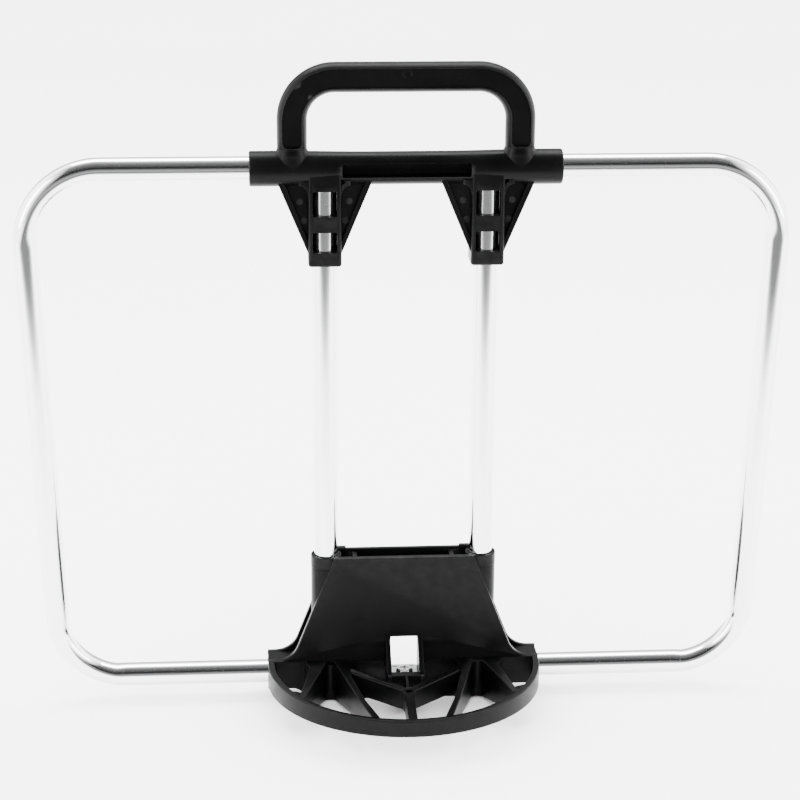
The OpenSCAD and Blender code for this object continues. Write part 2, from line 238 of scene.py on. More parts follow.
def prism(
    outline: Sequence[Point],
    low: Level,
    high: Level,
    axis: Axis,
    edges: tuple[float, float] = (0.5, 0.5),
    steps: int = 3,
) -> bpy.types.Mesh:
    """Thicken an outline and round the edges of its two faces.

    Args:
        outline: Corners in any direction.
        low: Where it starts along the axis, or a rule for that.
        high: Where it ends along the axis, or a rule for that.
        axis: Direction of the thickness.
        edges: Rounding at the start and at the end. A negative one flares, for a cutter.
        steps: Flats in each rounding.

    Returns:
        A closed mesh.
    """
    corners = list(outline)
    if signed_area(corners) < 0:
        corners.reverse()
    loops = []
    for start, radius, level, sign in ((True, edges[0], low, 1), (False, edges[1], high, -1)):
        size = abs(radius)
        order = range(steps + 1) if start else range(steps, -1, -1)
        for k in order if size else (steps,):
            angle = math.pi / 2 * k / steps
            rise = size * (1 - math.cos(angle))
            rim = inset(corners, math.copysign(size * (1 - math.sin(angle)), radius))
            loops.append(
                [axis.place(*p, level_at(level, *c) + sign * rise) for p, c in zip(rim, corners)]
            )
    return skin(loops)


def stacked(outlines: Sequence[tuple[Sequence[Point], float]], axis: Axis) -> bpy.types.Mesh:
    """Join outlines that stand at different places along an axis.

    Args:
        outlines: (corners, place along the axis) in order, all with the same number of corners.
        axis: The axis.

    Returns:
        A closed mesh.
    """
    return skin([[axis.place(u, v, w) for u, v in outline] for outline, w in outlines])


def flared(outline: Sequence[Point], half: float, edge: float) -> bpy.types.Mesh:
    """A cutter along Y that goes right through a wall and softens both of its mouths.

    Args:
        outline: The opening, drawn in X and Z.
        half: Half the wall's thickness.
        edge: How far the mouths widen.

    Returns:
        The cutter.
    """
    mouth = inset(outline, -edge)
    front = [(mouth, -half - PAST_WALL), (mouth, -half), (outline, edge - half)]
    back = [(outline, half - edge), (mouth, half), (mouth, half + PAST_WALL)]
    return stacked(front + back, Axis.Y)


def lathe(
    profile: Sequence[Point], axis: Axis, centre: Point = (0, 0), segments: int = 96
) -> bpy.types.Mesh:
    """Turn a profile round an axis.

    Args:
        profile: (position along the axis, radius) from one end to the other.
        axis: Direction of the axis.
        centre: Where the axis stands, in the two other directions.
        segments: Flats round the axis.

    Returns:
        A closed mesh.
    """
    return stacked([(disc(*centre, radius, segments), w) for w, radius in profile], axis)


def arc_profile(w: float, radius: float, size: float, start: bool, steps: int = 4) -> list[Point]:
    """Rounding of a turned end: (position, radius) points over a quarter circle.

    Args:
        w: Position of the end face.
        radius: Radius of the bar.
        size: Rounding radius.
        start: True for the end that faces backwards along the axis.
        steps: Flats in the rounding.

    Returns:
        Points in order along the axis.
    """
    turns = [math.pi / 2 * k / steps for k in range(steps + 1)]
    points = [(size * (1 - math.cos(t)), radius - size * (1 - math.sin(t))) for t in turns]
    if start:
        return [(w + a, r) for a, r in points]
    return [(w - a, r) for a, r in reversed(points)]


class Moulding:
    """A solid built from added shapes and cut ones, in millimetres."""

    def __init__(self, name: str) -> None:
        """Start an empty solid.

        Args:
            name: Name of the finished piece.
        """
        self.name = name
        self.added: list[bpy.types.Mesh] = []
        self.cuts: list[bpy.types.Mesh] = []

    def add(self, *shapes: bpy.types.Mesh) -> None:
        """Add shapes to the solid."""
        self.added.extend(shapes)

    def cut(self, *shapes: bpy.types.Mesh) -> None:
        """Cut shapes out of the solid."""
        self.cuts.extend(shapes)

    @staticmethod
    def _gather(label: str, shapes: Sequence[bpy.types.Mesh]) -> bpy.types.Collection:
        """Put shapes into a collection of their own."""
        group = bpy.data.collections.new(label)
        for shape in shapes:
            group.objects.link(bpy.data.objects.new(label, shape))
        return group

    @staticmethod
    def _boolean(body: bpy.types.Object, kind: str, group: bpy.types.Collection) -> None:
        """Add a boolean modifier with a collection to an object."""
        step = body.modifiers.new(kind.lower(), "BOOLEAN")
        step.operation = kind
        step.operand_type = "COLLECTION"
        step.collection = group
        step.solver = "EXACT"

    def finish(self, material: bpy.types.Material, smooth: float = 32.0) -> bpy.types.Object:
        """Join everything into one closed mesh in metres.

        Args:
            material: Material of the whole piece.
            smooth: Largest angle between faces that still shade as one surface, in degrees.

        Returns:
            The piece, at the origin.
        """
        body = bpy.data.objects.new("body", self.added[0])
        bpy.context.scene.collection.objects.link(body)
        joined = self._gather("joined", self.added[1:])
        removed = self._gather("removed", self.cuts)
        for group in (joined, removed):
            bpy.context.scene.collection.children.link(group)
        self._boolean(body, "UNION", joined)
        if self.cuts:
            self._boolean(body, "DIFFERENCE", removed)
        mesh = settled(body)
        for group in (joined, removed):
            for o in list(group.objects):
                bpy.data.objects.remove(o)
            bpy.data.collections.remove(group)
        bpy.data.objects.remove(body)
        return dressed(self.name, cleaned(mesh), material, smooth)


def settled(piece: bpy.types.Object) -> bpy.types.Mesh:
    """The mesh of an object with its modifiers applied."""
    bpy.context.view_layer.update()
    graph = bpy.context.evaluated_depsgraph_get()
    return bpy.data.meshes.new_from_object(piece.evaluated_get(graph), depsgraph=graph)


def cleaned(mesh: bpy.types.Mesh) -> bpy.types.Mesh:
    """Weld a mesh made in millimetres, drop its crumbs and turn its faces outwards."""
    bm = bmesh.new()
    bm.from_mesh(mesh)
    bmesh.ops.remove_doubles(bm, verts=list(bm.verts), dist=0.002)
    bmesh.ops.dissolve_degenerate(bm, edges=list(bm.edges), dist=0.002)
    open_edges = sum(1 for e in bm.edges if not e.is_manifold)
    if open_edges:
        LOG.warning("%s: %d edges are not closed", mesh.name, open_edges)
    bmesh.ops.recalc_face_normals(bm, faces=list(bm.faces))
    bmesh.ops.scale(bm, vec=(MM, MM, MM), verts=list(bm.verts))
    bm.to_mesh(mesh)
    bm.free()
    return mesh


def dressed(
    name: str, mesh: bpy.types.Mesh, material: bpy.types.Material, smooth: float = 32.0
) -> bpy.types.Object:
    """Make a piece from a finished mesh: material, smooth shading and even corner normals.

    Args:
        name: Name of the piece.
        mesh: Closed mesh in metres.
        material: Its material.
        smooth: Largest angle that shades as one surface, in degrees.

    Returns:
        The piece, at the origin.
    """
    mesh.materials.clear()
    mesh.materials.append(material)
    mesh.shade_smooth()
    mesh.set_sharp_from_angle(angle=math.radians(smooth))
    piece = bpy.data.objects.new(name, mesh)
    bpy.context.scene.collection.objects.link(piece)
    evener = piece.modifiers.new("even normals", "WEIGHTED_NORMAL")
    evener.keep_sharp = True
    piece.data = settled(piece)
    piece.modifiers.clear()
    piece.data.name = name
    LOG.info("%s: %d faces", name, len(piece.data.polygons))
    return piece


# ---------------------------------------------------------------- finishes


class Wiring:
    """A node tree being wired, with short calls for its nodes and links."""

    def __init__(self, tree: bpy.types.NodeTree) -> None:
        """Take an empty tree."""
        self.tree = tree

    def node(self, kind: str, feeds: dict | None = None, **settings: object) -> bpy.types.Node:
        """Add a node.

        Args:
            kind: The node's type.
            feeds: Input name or number to a value or to another node's output.
            **settings: The node's own properties.

        Returns:
            The node.
        """
        made = self.tree.nodes.new(kind)
        for key, value in settings.items():
            setattr(made, key, value)
        self.feed(made, feeds or {})
        return made

    def feed(self, target: bpy.types.Node, feeds: dict) -> None:
        """Link or set the inputs of a node."""
        for key, value in feeds.items():
            if isinstance(value, bpy.types.NodeSocket):
                self.tree.links.new(value, target.inputs[key])
            else:
                target.inputs[key].default_value = value

    def math(self, operation: str, *values: object) -> bpy.types.NodeSocket:
        """Add a shader math node and return its value."""
        return self.node("ShaderNodeMath", dict(enumerate(values)), operation=operation).outputs[0]

    def blend(self, share: object, a: object, b: object) -> bpy.types.NodeSocket:
        """Mix two colours and return the result."""
        return self.node("ShaderNodeMix", {0: share, 6: a, 7: b}, data_type="RGBA").outputs[2]

    def remap(
        self, value: object, low: object, high: object, to_low: float = 0.0, to_high: float = 1.0
    ) -> bpy.types.NodeSocket:
        """Map a range to another and return the result."""
        feeds = {0: value, 1: low, 2: high, 3: to_low, 4: to_high}
        return self.node("ShaderNodeMapRange", feeds).outputs[0]

    def noise(self, place: object, scale: object, detail: float) -> bpy.types.NodeSocket:
        """Add a noise texture and return its value."""
        feeds = {"Vector": place, "Scale": scale, "Detail": detail}
        return self.node("ShaderNodeTexNoise", feeds).outputs["Fac"]

    def bump(self, height: object, distance: float, strength: float) -> bpy.types.NodeSocket:
        """Add a bump node and return its normal."""
        feeds = {"Height": height, "Distance": distance, "Strength": strength}
        return self.node("ShaderNodeBump", feeds).outputs[0]

    def attribute(self, name: str) -> bpy.types.NodeSocket:
        """Read a number that the mesh carries."""
        return self.node("ShaderNodeAttribute", attribute_name=name).outputs["Fac"]


class EffectGroup:
    """A shader node group that several materials share."""

    def __init__(self, name: str, inputs: dict[str, float], outputs: Sequence[str]) -> None:
        """Make the empty group: a vector input, number inputs and number outputs.

        Args:
            name: Name of the group.
            inputs: Number input to its default.
            outputs: Names of the outputs.
        """
        self.tree = bpy.data.node_groups.new(name, "ShaderNodeTree")
        self.wiring = Wiring(self.tree)
        face = self.tree.interface
        face.new_socket("Vector", in_out="INPUT", socket_type="NodeSocketVector")
        for label, default in inputs.items():
            socket = face.new_socket(label, in_out="INPUT", socket_type="NodeSocketFloat")
            socket.default_value = default
        for label in outputs:
            face.new_socket(label, in_out="OUTPUT", socket_type="NodeSocketFloat")
        self.entry = self.wiring.node("NodeGroupInput").outputs
        self.exit = self.wiring.node("NodeGroupOutput").inputs

    def result(self, name: str, value: bpy.types.NodeSocket) -> None:
        """Lead a value out of the group."""
        self.tree.links.new(value, self.exit[name])

    def place(self, wiring: Wiring, feeds: dict) -> bpy.types.Node:
        """Put the group into a material with its own values."""
        return wiring.node("ShaderNodeGroup", feeds, node_tree=self.tree)


def grain_group() -> EffectGroup:
    """Fine surface grain: a height, and a slow mottle from 0 to 1."""
    group = EffectGroup("surface grain", {"Fine": 1500.0, "Slow": 40.0}, ("Height", "Mottle"))
    w, entry = group.wiring, group.entry
    slow = w.noise(entry["Vector"], entry["Slow"], 4.0)
    group.result("Height", w.noise(entry["Vector"], entry["Fine"], 3.0))
    group.result("Mottle", w.remap(slow, 0.3, 0.7))
    return group


def wear_and_highlight_group() -> EffectGroup:
    """Worn edges, and on the plastic also painted edge highlights: a mask from the surface's convexity,
    broken up by noise.
    """
    inputs = {"Convexity": 0.5, "From": 0.52, "To": 0.6, "Patches": 220.0}
    group = EffectGroup("rubbed edges", inputs, ("Mask",))
    w, entry = group.wiring, group.entry
    edge = w.remap(entry["Convexity"], entry["From"], entry["To"])
    patches = w.remap(w.noise(entry["Vector"], entry["Patches"], 3.0), 0.35, 0.65, 0.35, 1.0)
    group.result("Mask", w.math("MULTIPLY", edge, patches))
    return group


def scratch_group() -> EffectGroup:
    """Sparse hairline scratches: a mask from stretched noise."""
    group = EffectGroup("hairline scratches", {"Scale": 300.0, "Rarity": 0.7}, ("Mask",))
    w, entry = group.wiring, group.entry
    lines = w.noise(entry["Vector"], entry["Scale"], 2.0)
    group.result("Mask", w.remap(lines, entry["Rarity"], 0.82))
    return group


@dataclass(frozen=True)
class Effects:
    """The node groups that the finishes share."""

    grain: EffectGroup
    wear_and_highlight: EffectGroup
    scratches: EffectGroup

    @classmethod
    def build(cls) -> "Effects":
        """Make each group once."""
        return cls(grain_group(), wear_and_highlight_group(), scratch_group())


def new_material(name: str) -> tuple[bpy.types.Material, Wiring, bpy.types.Node]:
    """Start a material.

    Args:
        name: Its name.

    Returns:
        The material, its wiring and its Principled shader.
    """
    material = bpy.data.materials.new(name)
    material.use_nodes = True
    wiring = Wiring(material.node_tree)
    shader = next(n for n in material.node_tree.nodes if n.type == "BSDF_PRINCIPLED")
    return material, wiring, shader


@dataclass(frozen=True)
class MouldedPlastic:
    """Satin injection-moulded plastic with fine grain, and edges lightened partly by rubbing and partly
    by a painted highlight.
    """

    name: str
    colour: tuple[float, float, float] = (0.0008, 0.0008, 0.00085)
    # Lighter edge colour: partly worn plastic, partly a painted highlight where the rounded edges would
    # catch the light.
    rubbed_and_highlight: tuple[float, float, float] = (0.016, 0.016, 0.0165)
    roughness: float = 0.33
    gloss: float = 0.06
    mottle: float = 1.55
    grain_depth: float = 0.00004

    def material(self, effects: Effects) -> bpy.types.Material:
        """Build the material.

        Args:
            effects: The shared node groups.

        Returns:
            The material.
        """
        material, w, shader = new_material(self.name)
        coords = w.node("ShaderNodeTexCoord").outputs["Object"]
        convexity = w.node("ShaderNodeNewGeometry").outputs["Pointiness"]
        grain = effects.grain.place(w, {"Vector": coords, "Fine": 1700.0, "Slow": 45.0})
        # Convex edges: one mask for worn plastic and for the painted edge highlight.
        wear_and_highlight = effects.wear_and_highlight.place(
            w, {"Vector": coords, "Convexity": convexity, "From": 0.515, "To": 0.575}
        )
        stretch = {"Vector": coords, "Scale": (1.0, 1.0, 14.0), "Rotation": (0.3, 0.7, 0.2)}
        flow = w.node("ShaderNodeMapping", stretch).outputs[0]
        marks = effects.scratches.place(w, {"Vector": flow, "Scale": 90.0, "Rarity": 0.7})
        dull = tuple(c * self.mottle for c in self.colour)
        base = w.blend(grain.outputs["Mottle"], (*self.colour, 1.0), (*dull, 1.0))
        # Share of the lighter edge colour: painted highlight mixed with worn plastic.
        rub_and_highlight = w.math("MULTIPLY", wear_and_highlight.outputs["Mask"], 0.75)
        low, high = self.roughness - 0.05, self.roughness + 0.07
        rough = w.remap(grain.outputs["Mottle"], 0.0, 1.0, low, high)
        feeds = {
            "Base Color": w.blend(rub_and_highlight, base, (*self.rubbed_and_highlight, 1.0)),
            "Roughness": w.math("ADD", rough, w.math("MULTIPLY", marks.outputs["Mask"], 0.08)),
            "Specular IOR Level": self.gloss,
            "Normal": w.bump(grain.outputs["Height"], self.grain_depth, 0.35),
        }
        w.feed(shader, feeds)
        return material


@dataclass(frozen=True)
class PolishedTube:
    """Polished aluminium tube with drawing lines that follow its length."""

    name: str
    colour: tuple[float, float, float] = (0.90, 0.905, 0.915)
    roughness: float = 0.09
    mottle: float = 0.9

    def material(self, effects: Effects) -> bpy.types.Material:
        """Build the material.

        Args:
            effects: The shared node groups.

        Returns:
            The material, which reads the attributes along and around.
        """
        material, w, shader = new_material(self.name)
        around = w.math("MULTIPLY", w.attribute("around"), math.tau)
        spun = w.node(
            "ShaderNodeCombineXYZ",
            {
                "X": w.math("MULTIPLY", w.math("COSINE", around), 0.02),
                "Y": w.math("MULTIPLY", w.math("SINE", around), 0.02),
                "Z": w.math("MULTIPLY", w.attribute("along"), 0.06),
            },
        ).outputs[0]
        drawn = effects.grain.place(w, {"Vector": spun, "Fine": 900.0, "Slow": 130.0})
        marks = effects.scratches.place(w, {"Vector": spun, "Scale": 1300.0, "Rarity": 0.68})
        dull = tuple(c * self.mottle for c in self.colour)
        low, high = self.roughness - 0.03, self.roughness + 0.04
        rough = w.remap(drawn.outputs["Mottle"], 0.0, 1.0, low, high)
        feeds = {
            "Base Color": w.blend(drawn.outputs["Mottle"], (*self.colour, 1.0), (*dull, 1.0)),
            "Roughness": w.math("ADD", rough, w.math("MULTIPLY", marks.outputs["Mask"], 0.12)),
            "Metallic": 1.0,
            "Normal": w.bump(drawn.outputs["Height"], 0.00002, 0.25),
        }
        w.feed(shader, feeds)
        return material


@dataclass(frozen=True)
class PlatedSteel:
    """Zinc-plated steel with a dull cloudy bloom and handling scratches."""

    name: str
    colour: tuple[float, float, float] = (0.68, 0.69, 0.70)
    rubbed_and_highlight: tuple[float, float, float] = (0.82, 0.83, 0.84)
    roughness: float = 0.3
    mottle: float = 0.72

    def material(self, effects: Effects) -> bpy.types.Material:
        """Build the material.

        Args:
            effects: The shared node groups.

        Returns:
            The material.
        """
        material, w, shader = new_material(self.name)
        coords = w.node("ShaderNodeTexCoord").outputs["Object"]
        convexity = w.node("ShaderNodeNewGeometry").outputs["Pointiness"]
        cloud = effects.grain.place(w, {"Vector": coords, "Fine": 2600.0, "Slow": 420.0})
        wear_and_highlight = effects.wear_and_highlight.place(w, {"Vector": coords, "Convexity": convexity, "Patches": 900.0})
        flow = w.node("ShaderNodeMapping", {"Vector": coords, "Scale": (12.0, 1.0, 1.0)}).outputs[0]
        marks = effects.scratches.place(w, {"Vector": flow, "Scale": 260.0, "Rarity": 0.62})
        dull = tuple(c * self.mottle for c in self.colour)
        base = w.blend(cloud.outputs["Mottle"], (*self.colour, 1.0), (*dull, 1.0))
        low, high = self.roughness - 0.06, self.roughness + 0.12
        rough = w.remap(cloud.outputs["Mottle"], 0.0, 1.0, low, high)
        feeds = {
            "Base Color": w.blend(wear_and_highlight.outputs["Mask"], base, (*self.rubbed_and_highlight, 1.0)),
            "Roughness": w.math("ADD", rough, w.math("MULTIPLY", marks.outputs["Mask"], 0.2)),
            "Metallic": 1.0,
            "Normal": w.bump(cloud.outputs["Height"], 0.00004, 0.3),
        }
        w.feed(shader, feeds)
        return material


# ---------------------------------------------------------------- shared sizes

# How far the base's foot lies below the axis of the bottom tubes.
BASE_DROP = 14.0


@dataclass(frozen=True)
class Gauge:
    """Sizes that more than one piece needs, in millimetres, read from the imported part."""

    tube_r: float
    low: float
    high: float
    loop_end: float
    upright_x: float
    upright_foot: float
    upright_head: float
    cross_half: float
    grip_top: float

    @classmethod
    def measure(cls) -> "Gauge":
        """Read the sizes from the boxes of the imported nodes."""
        up_low, up_high = box_mm("right_upright")
        loop_low, loop_high = box_mm("right_loop_tube")
        _, handle_high = box_mm("handle_moulding")
        base_low, _ = box_mm("base_moulding")
        tube_r = (up_high.y - up_low.y) / 2
        rise = loop_high.z - loop_low.z - 2 * tube_r
        return cls(
            tube_r=tube_r,
            low=base_low.z + BASE_DROP,
            high=base_low.z + BASE_DROP + rise,
            loop_end=loop_low.x,
            upright_x=(up_low.x + up_high.x) / 2,
            upright_foot=up_low.z,
            upright_head=up_high.z,
            cross_half=handle_high.x,
            grip_top=handle_high.z,
        )


def box_mm(node: str) -> tuple[Vector, Vector]:
    """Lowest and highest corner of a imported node, in millimetres."""
    low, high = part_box(node)
    return low / MM, high / MM


def placed(piece: bpy.types.Object, node: str) -> bpy.types.Object:
    """Put a piece in place of its node.

    Args:
        piece: The finished piece.
        node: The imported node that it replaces.

    Returns:
        The piece.
    """
    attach(piece, "root")
    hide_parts(node)
    return piece


# ---------------------------------------------------------------- tubes


@dataclass
class SweepTree:
    """Geometry Nodes tree: a round section swept along a polyline.

    The polyline's points carry two attributes: squeeze, from 0 to 1, and inward, the direction to
    the middle of the bend. Where squeeze is above 0 the inner wall is pressed in.
    """

    name: str
    sides: int = 72
    ids: dict[str, str] = field(default_factory=dict)
    tree: bpy.types.NodeTree | None = None

    def build(self) -> "SweepTree":
        """Build the tree and remember its inputs' identifiers.

        Returns:
            The tree's owner, ready to sweep.
        """
        tree = bpy.data.node_groups.new(self.name, "GeometryNodeTree")
        face = tree.interface
        face.new_socket("Line", in_out="INPUT", socket_type="NodeSocketGeometry")
        for label, kind, default in (
            ("Radius", "NodeSocketFloat", 0.006),
            ("Sides", "NodeSocketInt", self.sides),
            ("Press", "NodeSocketFloat", 0.0007),
            ("Material", "NodeSocketMaterial", None),
        ):
            socket = face.new_socket(label, in_out="INPUT", socket_type=kind)
            if default is not None:
                socket.default_value = default
        face.new_socket("Tube", in_out="OUTPUT", socket_type="NodeSocketGeometry")
        self.ids = {s.name: s.identifier for s in face.items_tree if s.in_out == "INPUT"}
        w = Wiring(tree)
        entry = w.node("NodeGroupInput").outputs
        curve = w.node("GeometryNodeMeshToCurve", {"Mesh": entry["Line"]}).outputs[0]
        length = w.node("GeometryNodeSplineParameter").outputs["Length"]
        curve = self._stored(w, curve, "along", length)
        circle = {"Resolution": entry["Sides"], "Radius": entry["Radius"]}
        ring = w.node("GeometryNodeCurvePrimitiveCircle", circle)
        turn = w.node("GeometryNodeSplineParameter").outputs["Factor"]
        profile = self._stored(w, ring.outputs[0], "around", turn)
        tube = w.node("GeometryNodeCurveToMesh", {"Curve": curve, "Profile Curve": profile})
        result = tube.outputs[0]
        for kind, feeds in (
            ("SetPosition", {"Offset": self._press(w, entry["Press"])}),
            ("SetShadeSmooth", {}),
            ("RealizeInstances", {}),
            ("SetMaterial", {"Material": entry["Material"]}),
        ):
            result = w.node(f"GeometryNode{kind}", {"Geometry": result, **feeds}).outputs[0]
        w.node("NodeGroupOutput", {0: result})
        self.tree = tree
        return self

    @staticmethod
    def _stored(
        w: Wiring, geometry: bpy.types.NodeSocket, name: str, value: bpy.types.NodeSocket
    ) -> bpy.types.NodeSocket:
        """Store a named number on the geometry's points and return the geometry."""
        feeds = {"Geometry": geometry, "Name": name, "Value": value}
        kind = "GeometryNodeStoreNamedAttribute"
        return w.node(kind, feeds, data_type="FLOAT", domain="POINT").outputs[0]

    @staticmethod
    def _press(w: Wiring, depth: bpy.types.NodeSocket) -> bpy.types.NodeSocket:
        """Offset that presses the inner wall of a bend towards its outer wall."""
        kind = "GeometryNodeInputNamedAttribute"
        squeeze = w.node(kind, {"Name": "squeeze"}, data_type="FLOAT").outputs["Attribute"]
        inward = w.node(kind, {"Name": "inward"}, data_type="FLOAT_VECTOR").outputs["Attribute"]
        normal = w.node("GeometryNodeInputNormal").outputs[0]
        facing = w.node("ShaderNodeVectorMath", {0: normal, 1: inward}, operation="DOT_PRODUCT")
        inner = w.math("MAXIMUM", facing.outputs["Value"], 0.0)
        outwards = w.math("MULTIPLY", depth, -1.0)
        amount = w.math("MULTIPLY", w.math("MULTIPLY", inner, squeeze), outwards)
        return w.node("ShaderNodeVectorMath", {0: inward, "Scale": amount}, operation="SCALE").outputs[0]

    def sweep(
        self, name: str, line: bpy.types.Mesh, radius: float, press: float, material: bpy.types.Material
    ) -> bpy.types.Mesh:
        """Sweep a tube along a line.

        Args:
            name: Name of the result.
            line: Polyline in metres with its attributes.
            radius: Radius in metres.
            press: How far the inner wall of a bend is pressed, in metres.
            material: Material of the tube.

        Returns:
            The tube's wall as a plain mesh, open at both ends.
        """
        carrier = bpy.data.objects.new(name, line)
        bpy.context.scene.collection.objects.link(carrier)
        step = carrier.modifiers.new("sweep", "NODES")
        step.node_group = self.tree
        inputs = {"Radius": radius, "Sides": self.sides, "Press": press, "Material": material}
        for label, value in inputs.items():
            step[self.ids[label]] = value
        mesh = settled(carrier)
        carrier.modifiers.clear()
        bpy.data.objects.remove(carrier)
        return mesh


@dataclass
class Tube:
    """One aluminium tube: a line it follows, and a wall."""

    node: str
    tree: SweepTree
    material: bpy.types.Material
    radius: float
    wall: float = 1.5
    press: float = 0.75

    def line(self) -> list[Step]:
        """Steps of the tube's axis in millimetres."""
        raise NotImplementedError

    def build(self) -> bpy.types.Object:
        """Sweep the tube, give it a wall and put it in place of its node.

        Returns:
            The piece.
        """
        points = self.line()
        mesh = bpy.data.meshes.new(self.node + "_line")
        links = [(i, i + 1) for i in range(len(points) - 1)]
        mesh.from_pydata([p * MM for p, _, _ in points], links, [])
        squeeze = mesh.attributes.new("squeeze", "FLOAT", "POINT")
        squeeze.data.foreach_set("value", [s for _, s, _ in points])
        inward = mesh.attributes.new("inward", "FLOAT_VECTOR", "POINT")
        inward.data.foreach_set("vector", [c for _, _, d in points for c in d])
        radius, press = self.radius * MM, self.press * MM
        swept = self.tree.sweep(self.node + "_sweep", mesh, radius, press, self.material)
        piece = bpy.data.objects.new(self.node + "_finish", swept)
        bpy.context.scene.collection.objects.link(piece)
        walls = piece.modifiers.new("wall", "SOLIDIFY")
        walls.thickness = self.wall * MM
        walls.offset = -1.0
        walls.use_even_offset = True
        piece.data = settled(piece)
        piece.modifiers.clear()
        piece.data.shade_smooth()
        piece.data.set_sharp_from_angle(angle=math.radians(40))
        LOG.info("%s: %d faces", piece.name, len(piece.data.polygons))
        return placed(piece, self.node)


@dataclass
class LoopTube(Tube):
    """A side tube: out along the top, round two bends and back along the bottom."""

    side: Side = Side.RIGHT
    low: float = 14.0
    high: float = 292.5
    end: float = 35.0
    top_half: float = 194.5
    bottom_half: float = 184.5
    top_bend: float = 39.0
    bottom_bend: float = 36.0
    step: float = 6.0

    def line(self) -> list[Step]:
        """Steps of the side tube's axis."""
        lean = math.atan2(self.top_half - self.bottom_half, self.high - self.low)
        top_x = self.top_half - self.top_bend * math.tan((math.pi / 2 + lean) / 2)
        foot_x = self.bottom_half - self.bottom_bend * math.tan((math.pi / 2 - lean) / 2)
        top = Vector((top_x, self.high - self.top_bend))
        foot = Vector((foot_x, self.low + self.bottom_bend))
        steps = self._straight(Vector((self.end, self.high)), Vector((top.x, self.high)))
        steps += self._bend(top, self.top_bend, math.pi / 2, -lean)
        out = Vector((math.cos(lean), -math.sin(lean)))
        steps += self._straight(top + self.top_bend * out, foot + self.bottom_bend * out)[1:]
        steps += self._bend(foot, self.bottom_bend, -lean, -math.pi / 2)
        steps += self._straight(Vector((foot.x, self.low)), Vector((self.end, self.low)))[1:]
        sign = self.side.value
        return [
            (Vector((p.x * sign, 0, p.y)), squeeze, Vector((d.x * sign, 0, d.y)))
            for p, squeeze, d in steps
        ]

    def _straight(self, a: Vector, b: Vector) -> list[Step]:
        """Steps from a to b."""
        count = max(1, round((b - a).length / self.step))
        return [(a.lerp(b, k / count), 0.0, Vector((0, 0))) for k in range(count + 1)]

    @staticmethod
    def _bend(middle: Vector, radius: float, start: float, end: float) -> list[Step]:
        """Steps round a bend, with a squeeze that comes in over its first and last 14 per cent."""
        count = 40
        steps = []
        for k in range(1, count + 1):
            share = k / count
            angle = start + (end - start) * share
            arm = Vector((math.cos(angle), math.sin(angle)))
            near = min(share, 1 - share) / 0.14
            squeeze = 1.0 if near >= 1 else eased(near)
            steps.append((middle + radius * arm, squeeze, -arm))
        return steps


@dataclass
class Upright(Tube):
    """A straight upright tube."""

    x: float = 41.5
    foot: float = 52.0
    head: float = 284.0

    def line(self) -> list[Step]:
        """Steps of the upright's axis."""
        count = 24
        heights = [self.foot + (self.head - self.foot) * k / count for k in range(count + 1)]
        return [(Vector((self.x, 0, z)), 0.0, Vector((0, 0, 0))) for z in heights]


# ---------------------------------------------------------------- handle


